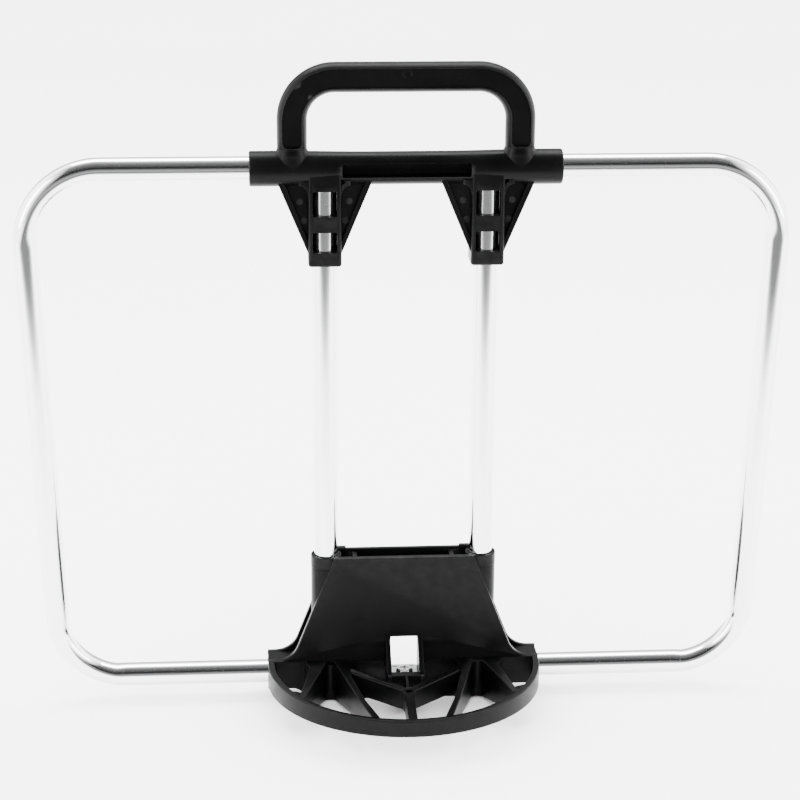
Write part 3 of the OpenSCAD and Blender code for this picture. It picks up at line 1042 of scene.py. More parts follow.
@dataclass
class HandleMoulding:
    """Carry handle, crosspiece and the two brackets that hold the uprights."""

    gauge: Gauge
    leg_x: float = 57.7
    grip_r: float = 7.6
    grip_bend: float = 21.5
    foot_flare: float = 1.3
    channel_w: float = 9.6
    channel_depth: float = 2.6
    channel_foot_rise: float = 11.5
    channel_corner: float = 2.6
    cross_r: float = 9.0
    waist_r: float = 8.35
    slot_half: float = 32.4
    slot_h: float = 7.0
    bore_r: float = 6.45
    column_half: float = 8.5
    column_l: float = 49.7
    gusset_reach: float = 22.6
    gusset_foot: float = 5.5
    border: float = 2.7
    web_half: float = 3.0
    border_half: float = 6.0
    window_half: float = 6.3
    windows: tuple[tuple[float, float], ...] = ((-10.6, -23.6), (-31.8, -42.4))
    flare_w: float = 4.4
    flare_h: float = 5.4
    flare_low: float = -12.8
    ejector_marks: tuple[tuple[float, float], ...] = ((-16.5, 12.6), (-26.5, 10.6))
    mark_r: float = 1.7

    def build(self, material: bpy.types.Material) -> bpy.types.Object:
        """Build the moulding and put it in place of its node.

        Args:
            material: Black plastic.

        Returns:
            The piece.
        """
        part = Moulding("handle_moulding_finish")
        part.add(self.crosspiece(), self.grip())
        for sign in SIGNS:
            part.add(*self.bracket(sign))
        self.cuts(part)
        dimple = [(-6.5, self.mark_r), (-4.86, self.mark_r)]
        part.cut(lathe(dimple, Axis.Y, (0.0, self.gauge.grip_top - 5.6), 32))
        return placed(part.finish(material), "handle_moulding")

    def crosspiece(self) -> bpy.types.Mesh:
        """Turned bar, slimmer in the middle, with rounded end lips."""
        sleeve, waist_end = self.leg_x + self.grip_r, self.slot_half * 0.6
        right: list[Point] = [(0.0, self.waist_r), (waist_end, self.waist_r)]
        for k in range(1, 13):
            share = k / 12
            x = waist_end + (sleeve - waist_end) * share
            right.append((x, self.waist_r + (self.cross_r - self.waist_r) * eased(share)))
        right += arc_profile(self.gauge.cross_half, self.cross_r, 1.0, False)
        return lathe(mirrored(right[1:]) + right, Axis.X, (0.0, self.gauge.high), 112)

    def _path(self) -> list[tuple[Vector, Vector, float]]:
        """The grip's axis: (place, outward direction, distance from the middle of the bar)."""
        top = self.gauge.grip_top - self.grip_r
        bend_z, bend_x = top - self.grip_bend, self.leg_x - self.grip_bend
        foot = self.gauge.high - 1.0
        arc = self.grip_bend * math.pi / 2
        level = [bend_x * k / 12 for k in range(12)]
        points = [(Vector((x, 0, top)), Vector((0, 0, 1)), x) for x in level]
        for k in range(29):
            angle = math.pi / 2 * (1 - k / 28)
            arm = Vector((math.cos(angle), 0, math.sin(angle)))
            place = Vector((bend_x, 0, bend_z)) + arm * self.grip_bend
            points.append((place, arm, bend_x + arc * k / 28))
        leg = bend_z - foot
        end = self._channel_end()
        marks = sorted({leg * k / 12 for k in range(1, 13)} | self._dense(end - bend_x - arc, leg))
        for m in marks:
            place = Vector((self.leg_x, 0, bend_z - m))
            points.append((place, Vector((1, 0, 0)), bend_x + arc + m))
        other = [
            (Vector((-p.x, 0, p.z)), Vector((-d.x, 0, d.z)), -s) for p, d, s in reversed(points[1:])
        ]
        return other + points

    def _channel_end(self) -> float:
        """Distance along the grip's axis from the middle of the bar to the channel's end."""
        top = self.gauge.grip_top - self.grip_r
        leg_top = top - self.grip_bend
        bend_x = self.leg_x - self.grip_bend
        foot = self.gauge.high + self.channel_foot_rise
        return bend_x + self.grip_bend * math.pi / 2 + leg_top - foot

    @staticmethod
    def _dense(middle: float, limit: float) -> set[float]:
        """Closer stations round the channel's end."""
        return {m for m in (middle + 0.25 * k for k in range(-16, 5)) if 0.3 < m < limit - 0.3}

    def grip(self) -> bpy.types.Mesh:
        """The carry handle: a round grip with a flat-bottomed channel in its front."""
        end = self._channel_end()
        half, corner = self.channel_w / 2, self.channel_corner
        floor = self.grip_r - self.channel_depth
        loops = []
        for place, out, s in self._path():
            flare = max(0.0, 1 - (place.z - self.gauge.high - self.cross_r + 1.5) / 3.5)
            wider = self.foot_flare * flare * flare if flare < 1 else self.foot_flare
            radius = self.grip_r + wider
            loop = []
            for turn in self._turns():
                a, f = radius * math.sin(turn), radius * math.cos(turn)
                if f > 0:
                    dx, dy = abs(a) - half + corner, abs(s) - end + corner
                    outside = math.hypot(max(dx, 0), max(dy, 0)) + min(max(dx, dy), 0) - corner
                    share = eased(min(1.0, max(0.0, 0.5 - outside / 0.5)))
                    f += (min(f, floor) - f) * share
                loop.append(place + out * a + Vector((0, -f, 0)))
            loops.append(loop)
        return skin(loops)

    def _turns(self) -> list[float]:
        """Angles round the grip, closer together at the channel's edges; 0 faces the front."""
        edge = math.asin(self.channel_w / 2 / self.grip_r)
        near = [edge + 0.018 * k for k in range(-7, 8)]
        floor = [(edge - 0.126) * k / 6 for k in range(6)]
        rest = [edge + 0.126 + (math.pi - edge - 0.126) * k / 34 for k in range(1, 35)]
        right = floor + near + rest
        return right + [-t for t in reversed(right[1:-1])]

    def bracket(self, sign: int) -> list[bpy.types.Mesh]:
        """One bracket: column, two gussets with borders, corner flares and ejector marks.

        Args:
            sign: 1 for the right one, -1 for the left one.

        Returns:
            Its shapes.
        """
        x, high = self.gauge.upright_x * sign, self.gauge.high
        half, foot = self.column_half, high - self.column_l
        depth = half - 0.2
        plan = rounded(box_outline(x - half, x + half, -depth, depth), 1.7, 5)
        shapes = [prism(plan, foot, high + 1.37, Axis.Z, (1.2, 0.0), 4)]
        turns = [math.pi / 16 * k for k in range(9)]
        wide, low, rise = half + self.flare_w, self.flare_low, self.flare_h
        bow = [(wide - 4.35 * math.sin(a), low + rise * math.cos(a)) for a in turns]
        flare = [(half - 0.5, -13.6), (half - 0.5, -5.0), (wide, -5.0), *bow]
        mark = [(-self.web_half - 0.12, self.mark_r), (-self.web_half + 0.5, self.mark_r)]
        for way in SIGNS:
            shapes += self._gusset(x, way)
            outline = [(x + way * u, high + v) for u, v in flare]
            shapes.append(prism(outline, -half + 0.9, half - 0.9, Axis.Y, (0.35, 0.35)))
            for rise, reach in self.ejector_marks:
                shapes.append(lathe(mark, Axis.Y, (x + way * reach, high + rise), 28))
        return shapes

    def _gusset(self, x: float, way: int) -> list[bpy.types.Mesh]:
        """A gusset beside a column: thin web and thicker slanted border."""
        high = self.gauge.high
        foot_z = high - self.column_l + self.gusset_foot
        join_z, top_z = high - self.cross_r, high - self.cross_r / 2
        slope = (self.gusset_reach - self.column_half + 0.4) / (join_z - foot_z)
        top_u = self.gusset_reach + slope * (top_z - join_z)
        foot_u = self.column_half - 0.4
        web = [(2.0, foot_z + 1), (foot_u, foot_z + 1), (top_u - 0.4, top_z), (2.0, top_z)]
        rim = [
            (foot_u - self.border, foot_z + 0.2),
            (foot_u, foot_z),
            (top_u, top_z - 0.3),
            (top_u - self.border - 0.6, top_z - 0.3),
        ]
        made = []
        for outline, depth, edge in ((web, self.web_half, 0.2), (rim, self.border_half, 0.55)):
            corners = [(x + way * u, v) for u, v in outline]
            corners = rounded(corners, edge + 0.25, 4)
            made.append(prism(corners, -depth, depth, Axis.Y, (edge, edge)))
        return made

    def cuts(self, part: Moulding) -> None:
        """Cut the bores, the windows and the slot."""
        g, r = self.gauge, self.bore_r
        end, foot = g.cross_half, g.high - self.column_l
        bore = [(g.loop_end - END_GAP, r), (end - 0.5, r), (end + 0.01, r + 0.45)]
        bore.append((end + PAST_BORE, r + 0.45))
        for line in (bore, mirrored(bore)):
            part.cut(lathe(line, Axis.X, (0.0, g.high), 72))
        well = [(foot - PAST_BORE, r + 0.4), (foot + 0.06, r + 0.4), (foot + 0.5, r)]
        well.append((g.upright_head + END_GAP, r))
        for sign in SIGNS:
            x = sign * g.upright_x
            part.cut(lathe(well, Axis.Z, (x, 0.0), 72))
            for top, bottom in self.windows:
                low_x, high_x = x - self.window_half, x + self.window_half
                hole = box_outline(low_x, high_x, g.high + bottom, g.high + top)
                part.cut(flared(rounded(hole, 0.7, 3), self.column_half, 0.45))
        reach, rise = self.slot_half, self.slot_h / 2
        slot = rounded(box_outline(-reach, reach, g.high - rise, g.high + rise), 0.5, 2)
        mouth, face = inset(slot, -0.35), -self.waist_r
        outside = [(mouth, -self.cross_r - PAST_WALL), (mouth, face + 0.25)]
        part.cut(stacked(outside + [(slot, face + 0.8), (slot, -0.3)], Axis.Y))


# ---------------------------------------------------------------- base


@dataclass
class BaseMoulding:
    """Front and back panels, tube sockets, block pocket, catch collar and half-round shelf.

    Heights are measured from the axis of the bottom tubes.
    """

    gauge: Gauge
    top: float = 68.4
    drop: float = BASE_DROP
    half: float = 73.5
    front: float = -8.3
    inner_front: float = -5.1
    inner_back: float = 5.3
    back: float = 8.3
    slant: float = 21.2
    slant_top: float = 37.5
    hollow: float = 13.0
    deck: float = 9.0
    shoulder_r: float = 8.75
    shoulder_low: float = -7.0
    drop_x: float = 45.0
    drop_run: float = 14.0
    socket_r: float = 8.05
    socket_floor: float = 34.0
    socket_band: float = 6.5
    cap_x: float = 59.0
    bore_r: float = 6.45
    flange: float = 4.5
    wall: float = 2.6
    mouth_half: float = 31.0
    roof_half: float = 24.5
    roof: float = 50.0
    slot: tuple[float, float, float] = (21.0, 16.0, 44.0)
    rail: float = 5.0
    catch_half: float = 7.4
    catch_top: float = 22.3
    sill: float = 4.4
    plate_t: float = 2.0
    collar_front: float = -29.5
    lip: float = 4.9
    screw_y: float = -15.0
    boss_r: float = 4.7
    post_r: float = 5.4
    hole_r: float = 2.1
    rim_t: float = 3.6
    rim_h: float = 12.4
    root_l: float = 48.0
    root_rise: float = 1.92
    tip_l: float = 31.0
    tip_rise: float = 1.28

    def build(self, material: bpy.types.Material) -> bpy.types.Object:
        """Build the moulding and put it in place of its node.

        Args:
            material: Black plastic.

        Returns:
            The piece.
        """
        part = Moulding("base_moulding_finish")
        part.add(self.plate(0.0, self.front, self.inner_front, (0.75, 0.3)))
        part.add(self.plate(0.0, self.inner_back, self.back, (0.3, 0.6)))
        self.skirt(part)
        self.pocket(part)
        self.sockets(part)
        self.collar(part)
        self.shelf(part)
        self.openings(part)
        return placed(part.finish(material), "base_moulding")

    def _up(self, outline: Sequence[Point]) -> list[Point]:
        """Lift an outline drawn in X and height into the frame."""
        return [(x, z + self.gauge.low) for x, z in outline]

    def half_outline(self, shrink: float) -> list[Point]:
        """Right half of a panel's outline, from the top down, drawn in X and height.

        Args:
            shrink: How far it lies inside the panel's edge.

        Returns:
            Its corners.
        """
        slant = math.radians(self.slant)
        r = self.hollow + shrink
        shift = self.slant_top - shrink / math.cos(slant)
        centre_z = self.deck - shrink + r
        centre_x = shift + (self.top - centre_z) * math.tan(slant) + r / math.cos(slant)
        start = math.pi + slant
        arc = [
            (centre_x + r * math.cos(a), centre_z + r * math.sin(a))
            for a in (start + (math.pi / 2 - slant) * k / 14 for k in range(15))
        ]
        top_z = self.top - shrink
        return [
            (shift + (self.top - top_z) * math.tan(slant), top_z),
            *arc,
            (self.half - shrink, self.deck - shrink),
            (self.half - shrink, self.shoulder_low + shrink),
            (self.drop_x + self.drop_run - shrink, self.shoulder_low + shrink),
            (self.drop_x - shrink, shrink - self.drop),
        ]

    def plate(self, shrink: float, low: float, high: float, edges: tuple[float, float]) -> bpy.types.Mesh:
        """One of the two panels."""
        right = self.half_outline(shrink)
        return prism(self._up(right + mirrored(right)), low, high, Axis.Y, edges, 4)

    def skirt(self, part: Moulding) -> None:
        """The front panel's thicker foot, and the walls between the panels."""
        right = [
            (self.half, self.deck),
            (self.half, self.shoulder_low),
            (self.drop_x + self.drop_run, self.shoulder_low),
            (self.drop_x, -self.drop),
        ]
        foot = self._up(rounded(right + mirrored(right), 0.6, 3))
        part.add(prism(foot, self.front - 0.6, self.front + 0.8, Axis.Y, (0.4, 0.0)))
        outer, inner = self.half_outline(self.flange), self.half_outline(self.flange + self.wall)
        inside = self.mouth_half + 0.4
        strip = outer + [(inside, outer[-1][1]), (inside, inner[-1][1])] + list(reversed(inner))
        for sign in SIGNS:
            part.add(self._between(on_side(strip, sign)))

    def _between(self, outline: Sequence[Point]) -> bpy.types.Mesh:
        """A wall that fills the gap between the two panels."""
        low, high = self.inner_front - 0.5, self.inner_back + 0.5
        return prism(self._up(outline), low, high, Axis.Y, (0.0, 0.0))

    def pocket(self, part: Moulding) -> None:
        """Walls of the carrier block's pocket, their ribs, the back wall's tabs and the guide rails."""
        w, foot, roof_half = self.wall, -self.drop, self.roof_half
        wall = [
            (self.mouth_half, foot),
            (self.mouth_half + w, foot),
            (roof_half + w, self.roof),
            (roof_half, self.roof),
        ]
        rib = [
            (roof_half - 0.6, self.roof - 1.5),
            (roof_half + 3.1, self.roof - 1.5),
            (roof_half + 2.6, self.top - 1.5),
            (roof_half + 0.3, self.top - 1.5),
        ]
        for line in (wall, rib):
            for sign in SIGNS:
                part.add(self._between(on_side(line, sign)))
        x = self.gauge.upright_x - self.gauge.tube_r
        tab = rounded(box_outline(x - 4.6, x + 1.0, self.top - 1, self.top + 1), 0.5, 3)
        low, high = self.inner_back + 0.1, self.back - 0.1
        for sign in SIGNS:
            part.add(prism(self._up(on_side(tab, sign)), low, high, Axis.Y, (0.3, 0.3)))
        end_cap = box_outline(self.cap_x, self.half - 0.35, 0.0, self.deck - 0.12)
        for sign in SIGNS:
            part.add(self._between(on_side(end_cap, sign)))
        span = roof_half + 0.8
        part.add(self._between(box_outline(-span, span, self.roof - w, self.roof)))
        mouth, top_half, rise = self.slot
        band = self._up(rounded(self._slot_outline(mouth + w, top_half + w, rise + w, 0.0), 1.5, 4))
        part.add(prism(band, self.back - 0.5, self.back + self.rail, Axis.Y, (0.0, 0.7), 4))

    def _slot_outline(self, mouth: float, top_half: float, rise: float, below: float) -> list[Point]:
        """A shape that narrows upwards from the base's foot."""
        foot = -self.drop - below
        return [(-mouth, foot), (mouth, foot), (top_half, rise), (-top_half, rise)]

    def sockets(self, part: Moulding) -> None:
        """Upright sockets with a band at the mouth, and shoulders round the bottom tubes."""
        low, r = self.gauge.low, self.socket_r
        top = low + self.top
        band = top - self.socket_band
        barrel = [(low + self.socket_floor, r), (band - 0.25, r), (band, r - 0.12)]
        barrel += [(band + 0.25, r + 0.1)] + arc_profile(top, r + 0.1, 0.5, False)
        for sign in SIGNS:
            part.add(lathe(barrel, Axis.Z, (sign * self.gauge.upright_x, 0.0), 96))
        shoulder = [(self.mouth_half + 0.5, self.shoulder_r)]
        shoulder += arc_profile(self.half, self.shoulder_r, 0.7, False)
        for line in (shoulder, mirrored(shoulder)):
            part.add(lathe(line, Axis.X, (0.0, low), 96))

    def collar(self, part: Moulding) -> None:
        """The walled recess in front of the catch window, with its floor and screw boss."""
        low = self.gauge.low
        side, front = self.catch_half + self.wall, self.collar_front
        floor = self.sill - self.plate_t
        under = floor - 3.4
        wing = [
            (self.inner_front, under),
            (front + 2.8, under),
            (front + 2.8, self.deck - 0.2),
            (front + self.lip, self.deck),
            (self.front, self.catch_top + 1.2),
            (self.inner_front, self.catch_top + 1.2),
        ]
        for sign in SIGNS:
            ends = sorted((sign * (self.catch_half - 0.3), sign * side))
            part.add(prism(self._up(wing), ends[0], ends[1], Axis.X, (0.5, 0.5)))
        lip = rounded(box_outline(-side, side, front, front + self.lip + 2.6), 2.4, 6)
        part.add(prism(lip, low + under - 4.0, low + self.deck, Axis.Z, (0.5, 0.8), 4))
        base = box_outline(-side + 0.3, side - 0.3, front + 1, self.inner_front)
        part.add(prism(base, low + under + 0.2, low + floor + 0.3, Axis.Z, (0.3, 0.0)))
        boss = [(low + self.sill - 14, self.boss_r), (low + floor - 0.5, self.boss_r)]
        part.add(lathe(boss, Axis.Z, (0.0, self.screw_y), 48))
        post = [(low + under, self.post_r), (low + self.deck - 0.15, self.post_r)]
        part.add(lathe(post, Axis.Z, (0.0, self.screw_y - 6.0), 48))

    def shallow(self, _: float, y: float) -> float:
        """Height of the rim's and the thin ribs' underside."""
        edge = self.deck - self.rim_h
        if y >= self.front:
            return self.gauge.low + edge
        if y > self.front - self.root_l:
            return self.gauge.low + edge + self.root_rise * (self.front - y) / self.root_l
        past_root = self.front - self.root_l - y
        return self.gauge.low + edge + self.root_rise + self.tip_rise * past_root / self.tip_l

    def deep(self, x: float, y: float) -> float:
        """Height of the hollow ribs' underside, which rises from the panel's foot."""
        foot = self.gauge.low - self.drop + 0.2
        if y >= self.front:
            return foot
        share = min(1.0, (self.front - y) / self.root_l)
        end = self.gauge.low + self.deck - self.rim_h + self.root_rise
        return foot + (end - foot) * share if share < 1 else self.shallow(x, y)

    def rim(self) -> bpy.types.Mesh:
        """The half-round rim, deeper at the shoulders than at the front."""
        centre_y, outer, inner = self.front - 0.6, self.half, self.half - self.rim_t
        count = 96
        turns = [math.pi + math.pi * k / count for k in range(count + 1)]
        arc = [(math.cos(angle), math.sin(angle), centre_y) for angle in turns]
        loops = []
        top = self.gauge.low + self.deck
        for cx, cy, base_y in [(-1.0, 0.0, centre_y + 1.2), *arc, (1.0, 0.0, centre_y + 1.2)]:
            low = self.shallow(0.0, base_y + cy * outer)
            section = rounded(box_outline(inner, outer, low, top), 0.9, 4)
            loops.append([Vector((cx * r, base_y + cy * r, z)) for r, z in section])
        return skin(loops)

    def shelf(self, part: Moulding) -> None:
        """Rim, spine, hub, chevron and the hollow ribs."""
        part.add(self.rim())
        top = self.gauge.low + self.deck
        spoke = [
            (27.5, self.front + 0.5),
            (38.2, self.front + 0.5),
            (26.5, -56.3),
            (20.3, -78.4),
            (16.0, -79.4),
            (23.3, -56.3),
            (29.4, -26.4),
        ]
        corner = [
            (54.0, self.front + 0.5),
            (51.0, -17.0),
            (55.9, -42.0),
            (57.8, -51.5),
            (54.6, -51.5),
            (42.3, -11.5),
            (42.3, self.front + 0.5),
        ]
        hollows = (
            [(30.2, -11.0), (34.9, -11.0), (32.3, -21.5), (31.3, -21.5)],
            [(44.9, -11.0), (50.6, -11.0), (48.8, -17.2), (50.4, -26.0), (49.4, -26.0), (45.9, -14.0)],
        )
        web = [(54.0, -36.0), (67.0, -30.0), (62.4, -43.2), (57.5, -50.0)]
        low = self.gauge.low
        for sign in SIGNS:
            for plan in (spoke, corner):
                outline = rounded(on_side(plan, sign), 1.2, 4)
                part.add(prism(outline, self.deep, top, Axis.Z, (0.3, 0.55)))
            for plan in hollows:
                outline = rounded(on_side(plan, sign), 0.5, 3)
                part.cut(prism(outline, low - 20, top - 2.4, Axis.Z, (0.0, 0.3)))
            part.add(prism(on_side(web, sign), low + 1, low + 3.6, Axis.Z, (0.3, 0.3)))
            part.add(self._valley(sign))
        chevron = [(0, -50.5), (30.5, -22.7), (30.5, -16.6), (0, -44.4), (-30.5, -16.6), (-30.5, -22.7)]
        part.add(prism(rounded(chevron, 1.6, 4), self.shallow, top, Axis.Z, (0.3, 0.6)))
        spine = [(-2.35, -46.0), (2.35, -46.0), (2.35, -80.5), (-2.35, -80.5)]
        part.add(prism(spine, self.shallow, top, Axis.Z, (0.3, 0.6)))
        hub = rounded([(-4.0, -44.0), (0, -42.0), (4.0, -44.0), (2.5, -51.5), (-2.5, -51.5)], 1.0, 4)
        part.add(prism(hub, self.shallow, top - 0.05, Axis.Z, (0.3, 0.6)))
        rib = box_outline(-0.9, 0.9, -45.5, self.collar_front + 1.5)
        part.add(prism(rib, self.shallow, top - 0.1, Axis.Z, (0.2, 0.4)))

    def _valley(self, sign: int) -> bpy.types.Mesh:
        """Rounded root between a spoke and the corner rib next to it.

        Args:
            sign: 1 on the right, -1 on the left.

        Returns:
            The filling.
        """
        middle, reach, r = 40.0, self.front - 6.4, 3.3
        left, right, back = middle - 3.5, middle + 4.0, self.front + 0.5
        turns = [1.3 - 2.6 * k / 14 for k in range(15)]
        bow = [(middle + r * math.sin(a), reach + r * math.cos(a)) for a in turns]
        outline = [(left, back), (left, reach + 0.6), *reversed(bow), (right, reach + 0.6), (right, back)]
        top = self.gauge.low + self.deck - 0.3
        return prism(on_side(outline, sign), self.deep, top, Axis.Z, (0.3, 0.5))

    def openings(self, part: Moulding) -> None:
        """Bores, catch window, plate seat, screw hole and back slot."""
        g, r = self.gauge, self.bore_r
        low, top = g.low, g.low + self.top
        bore = [(g.loop_end - END_GAP, r), (self.half - 0.4, r), (self.half + 0.01, r + 0.4)]
        bore.append((self.half + PAST_BORE, r + 0.4))
        for line in (bore, mirrored(bore)):
            part.cut(lathe(line, Axis.X, (0.0, low), 72))
        well = [(g.upright_foot - END_GAP, r), (top - 0.5, r), (top + 0.01, r + 0.5)]
        well.append((top + PAST_BORE, r + 0.5))
        for sign in SIGNS:
            part.cut(lathe(well, Axis.Z, (sign * g.upright_x, 0.0), 72))
        half, floor = self.catch_half, self.sill - self.plate_t
        window = self._up(rounded(box_outline(-half, half, floor, self.catch_top), 0.8, 4))
        near, far = self.collar_front + self.lip, self.inner_front + 0.6
        part.cut(prism(window, near, far, Axis.Y, (0.0, 0.0)))
        hole = [(low - 8.0, self.hole_r), (low + floor + 1, self.hole_r)]
        part.cut(lathe(hole, Axis.Z, (0.0, self.screw_y), 32))
        slot = rounded(self._slot_outline(*self.slot, 6.0), 2.0, 5)
        end = self.back + self.rail
        part.cut(prism(self._up(slot), self.inner_back - 0.5, end, Axis.Y, (0.0, -0.5)))
        mouth = self._up(inset(slot, -0.5))
        part.cut(prism(mouth, end - 0.01, end + PAST_WALL, Axis.Y, (0.0, 0.0)))


# ---------------------------------------------------------------- catch


@dataclass
class Catch:
    """The plated catch plate and the screw that holds it."""

    gauge: Gauge
    head_r: float = 4.6
    head_h: float = 2.8
    shank_r: float = 2.0
    pitch: float = 1.6
    hole_r: float = 2.2

    def build_plate(self, material: bpy.types.Material) -> bpy.types.Object:
        """The pressed plate, with softened edges and a hole for the screw.

        Args:
            material: Its finish.

        Returns:
            The piece.
        """
        low, high = box_mm("catch_plate")
        screw_low, screw_high = box_mm("catch_screw")
        middle = (screw_low.y + screw_high.y) / 2
        part = Moulding("catch_plate_finish")
        outline = rounded(box_outline(low.x, high.x, low.y, high.y), 1.4, 5)
        part.add(prism(outline, low.z, high.z, Axis.Z, (0.15, 0.35), 4))
        groove = rounded(box_outline(low.x + 1.6, high.x - 1.6, high.y - 3.4, high.y - 2.2), 0.55, 4)
        part.cut(prism(groove, high.z - 0.35, high.z + 1, Axis.Z, (0.0, 0.0)))
        hole = [(low.z - 1, self.hole_r), (high.z + 1, self.hole_r)]
        part.cut(lathe(hole, Axis.Z, (0.0, middle), 40))
        return placed(part.finish(material), "catch_plate")

    def build_screw(self, material: bpy.types.Material) -> bpy.types.Object:
        """The pan-head screw: crowned head, cross recess and threaded shank.

        Args:
            material: Its finish.

        Returns:
            The piece.
        """
        low, high = box_mm("catch_screw")
        y = (low.y + high.y) / 2
        seat = high.z - self.head_h
        part = Moulding("catch_screw_finish")
        crown = []
        for k in range(11):
            angle = math.pi / 2 * k / 10
            rise = self.head_h * (0.35 + 0.65 * math.sin(angle))
            crown.append((seat + rise, self.head_r * math.cos(angle) ** 0.55))
        head = [(seat, self.head_r - 0.2), (seat + 0.2, self.head_r), *crown[:-1], (high.z, 0.4)]
        part.add(lathe(head, Axis.Z, (0.0, y), 64))
        thread = [(low.z, 0.9), (low.z + 1.6, self.shank_r - 0.35)]
        turn = low.z + 1.6
        while turn + self.pitch < seat - 0.6:
            thread += [
                (turn + self.pitch * 0.42, self.shank_r),
                (turn + self.pitch * 0.55, self.shank_r),
                (turn + self.pitch, self.shank_r - 0.35),
            ]
            turn += self.pitch
        thread.append((seat + 0.5, self.shank_r - 0.35))
        part.add(lathe(thread, Axis.Z, (0.0, y), 32))
        for a, b in ((2.3, 0.6), (0.6, 2.3)):
            wide = box_outline(-a, a, y - b, y + b)
            tight = box_outline(-a * 0.55, a * 0.55, y - b * 0.7, y + b * 0.7)
            recess = ((tight, high.z - 1.9), (wide, high.z - 0.15), (wide, high.z + 1))
            part.cut(stacked(recess, Axis.Z))
        return placed(part.finish(material, 38.0), "catch_screw")


@dataclass
class Plugs:
    """The hidden plugs in the tube ends, which keep their own meshes."""

    ends: tuple[str, ...] = ("top", "bottom", "head", "foot")

    def dress(self, material: bpy.types.Material) -> list[bpy.types.Object]:
        """Give every plug its finish."""
        names = [f"{side.name.lower()}_{end}_plug" for side in Side for end in self.ends]
        pieces = [frame["nodes"][name] for name in names]
        for piece in pieces:
            piece.data.materials.clear()
            piece.data.materials.append(material)
        return pieces


# ---------------------------------------------------------------- studio


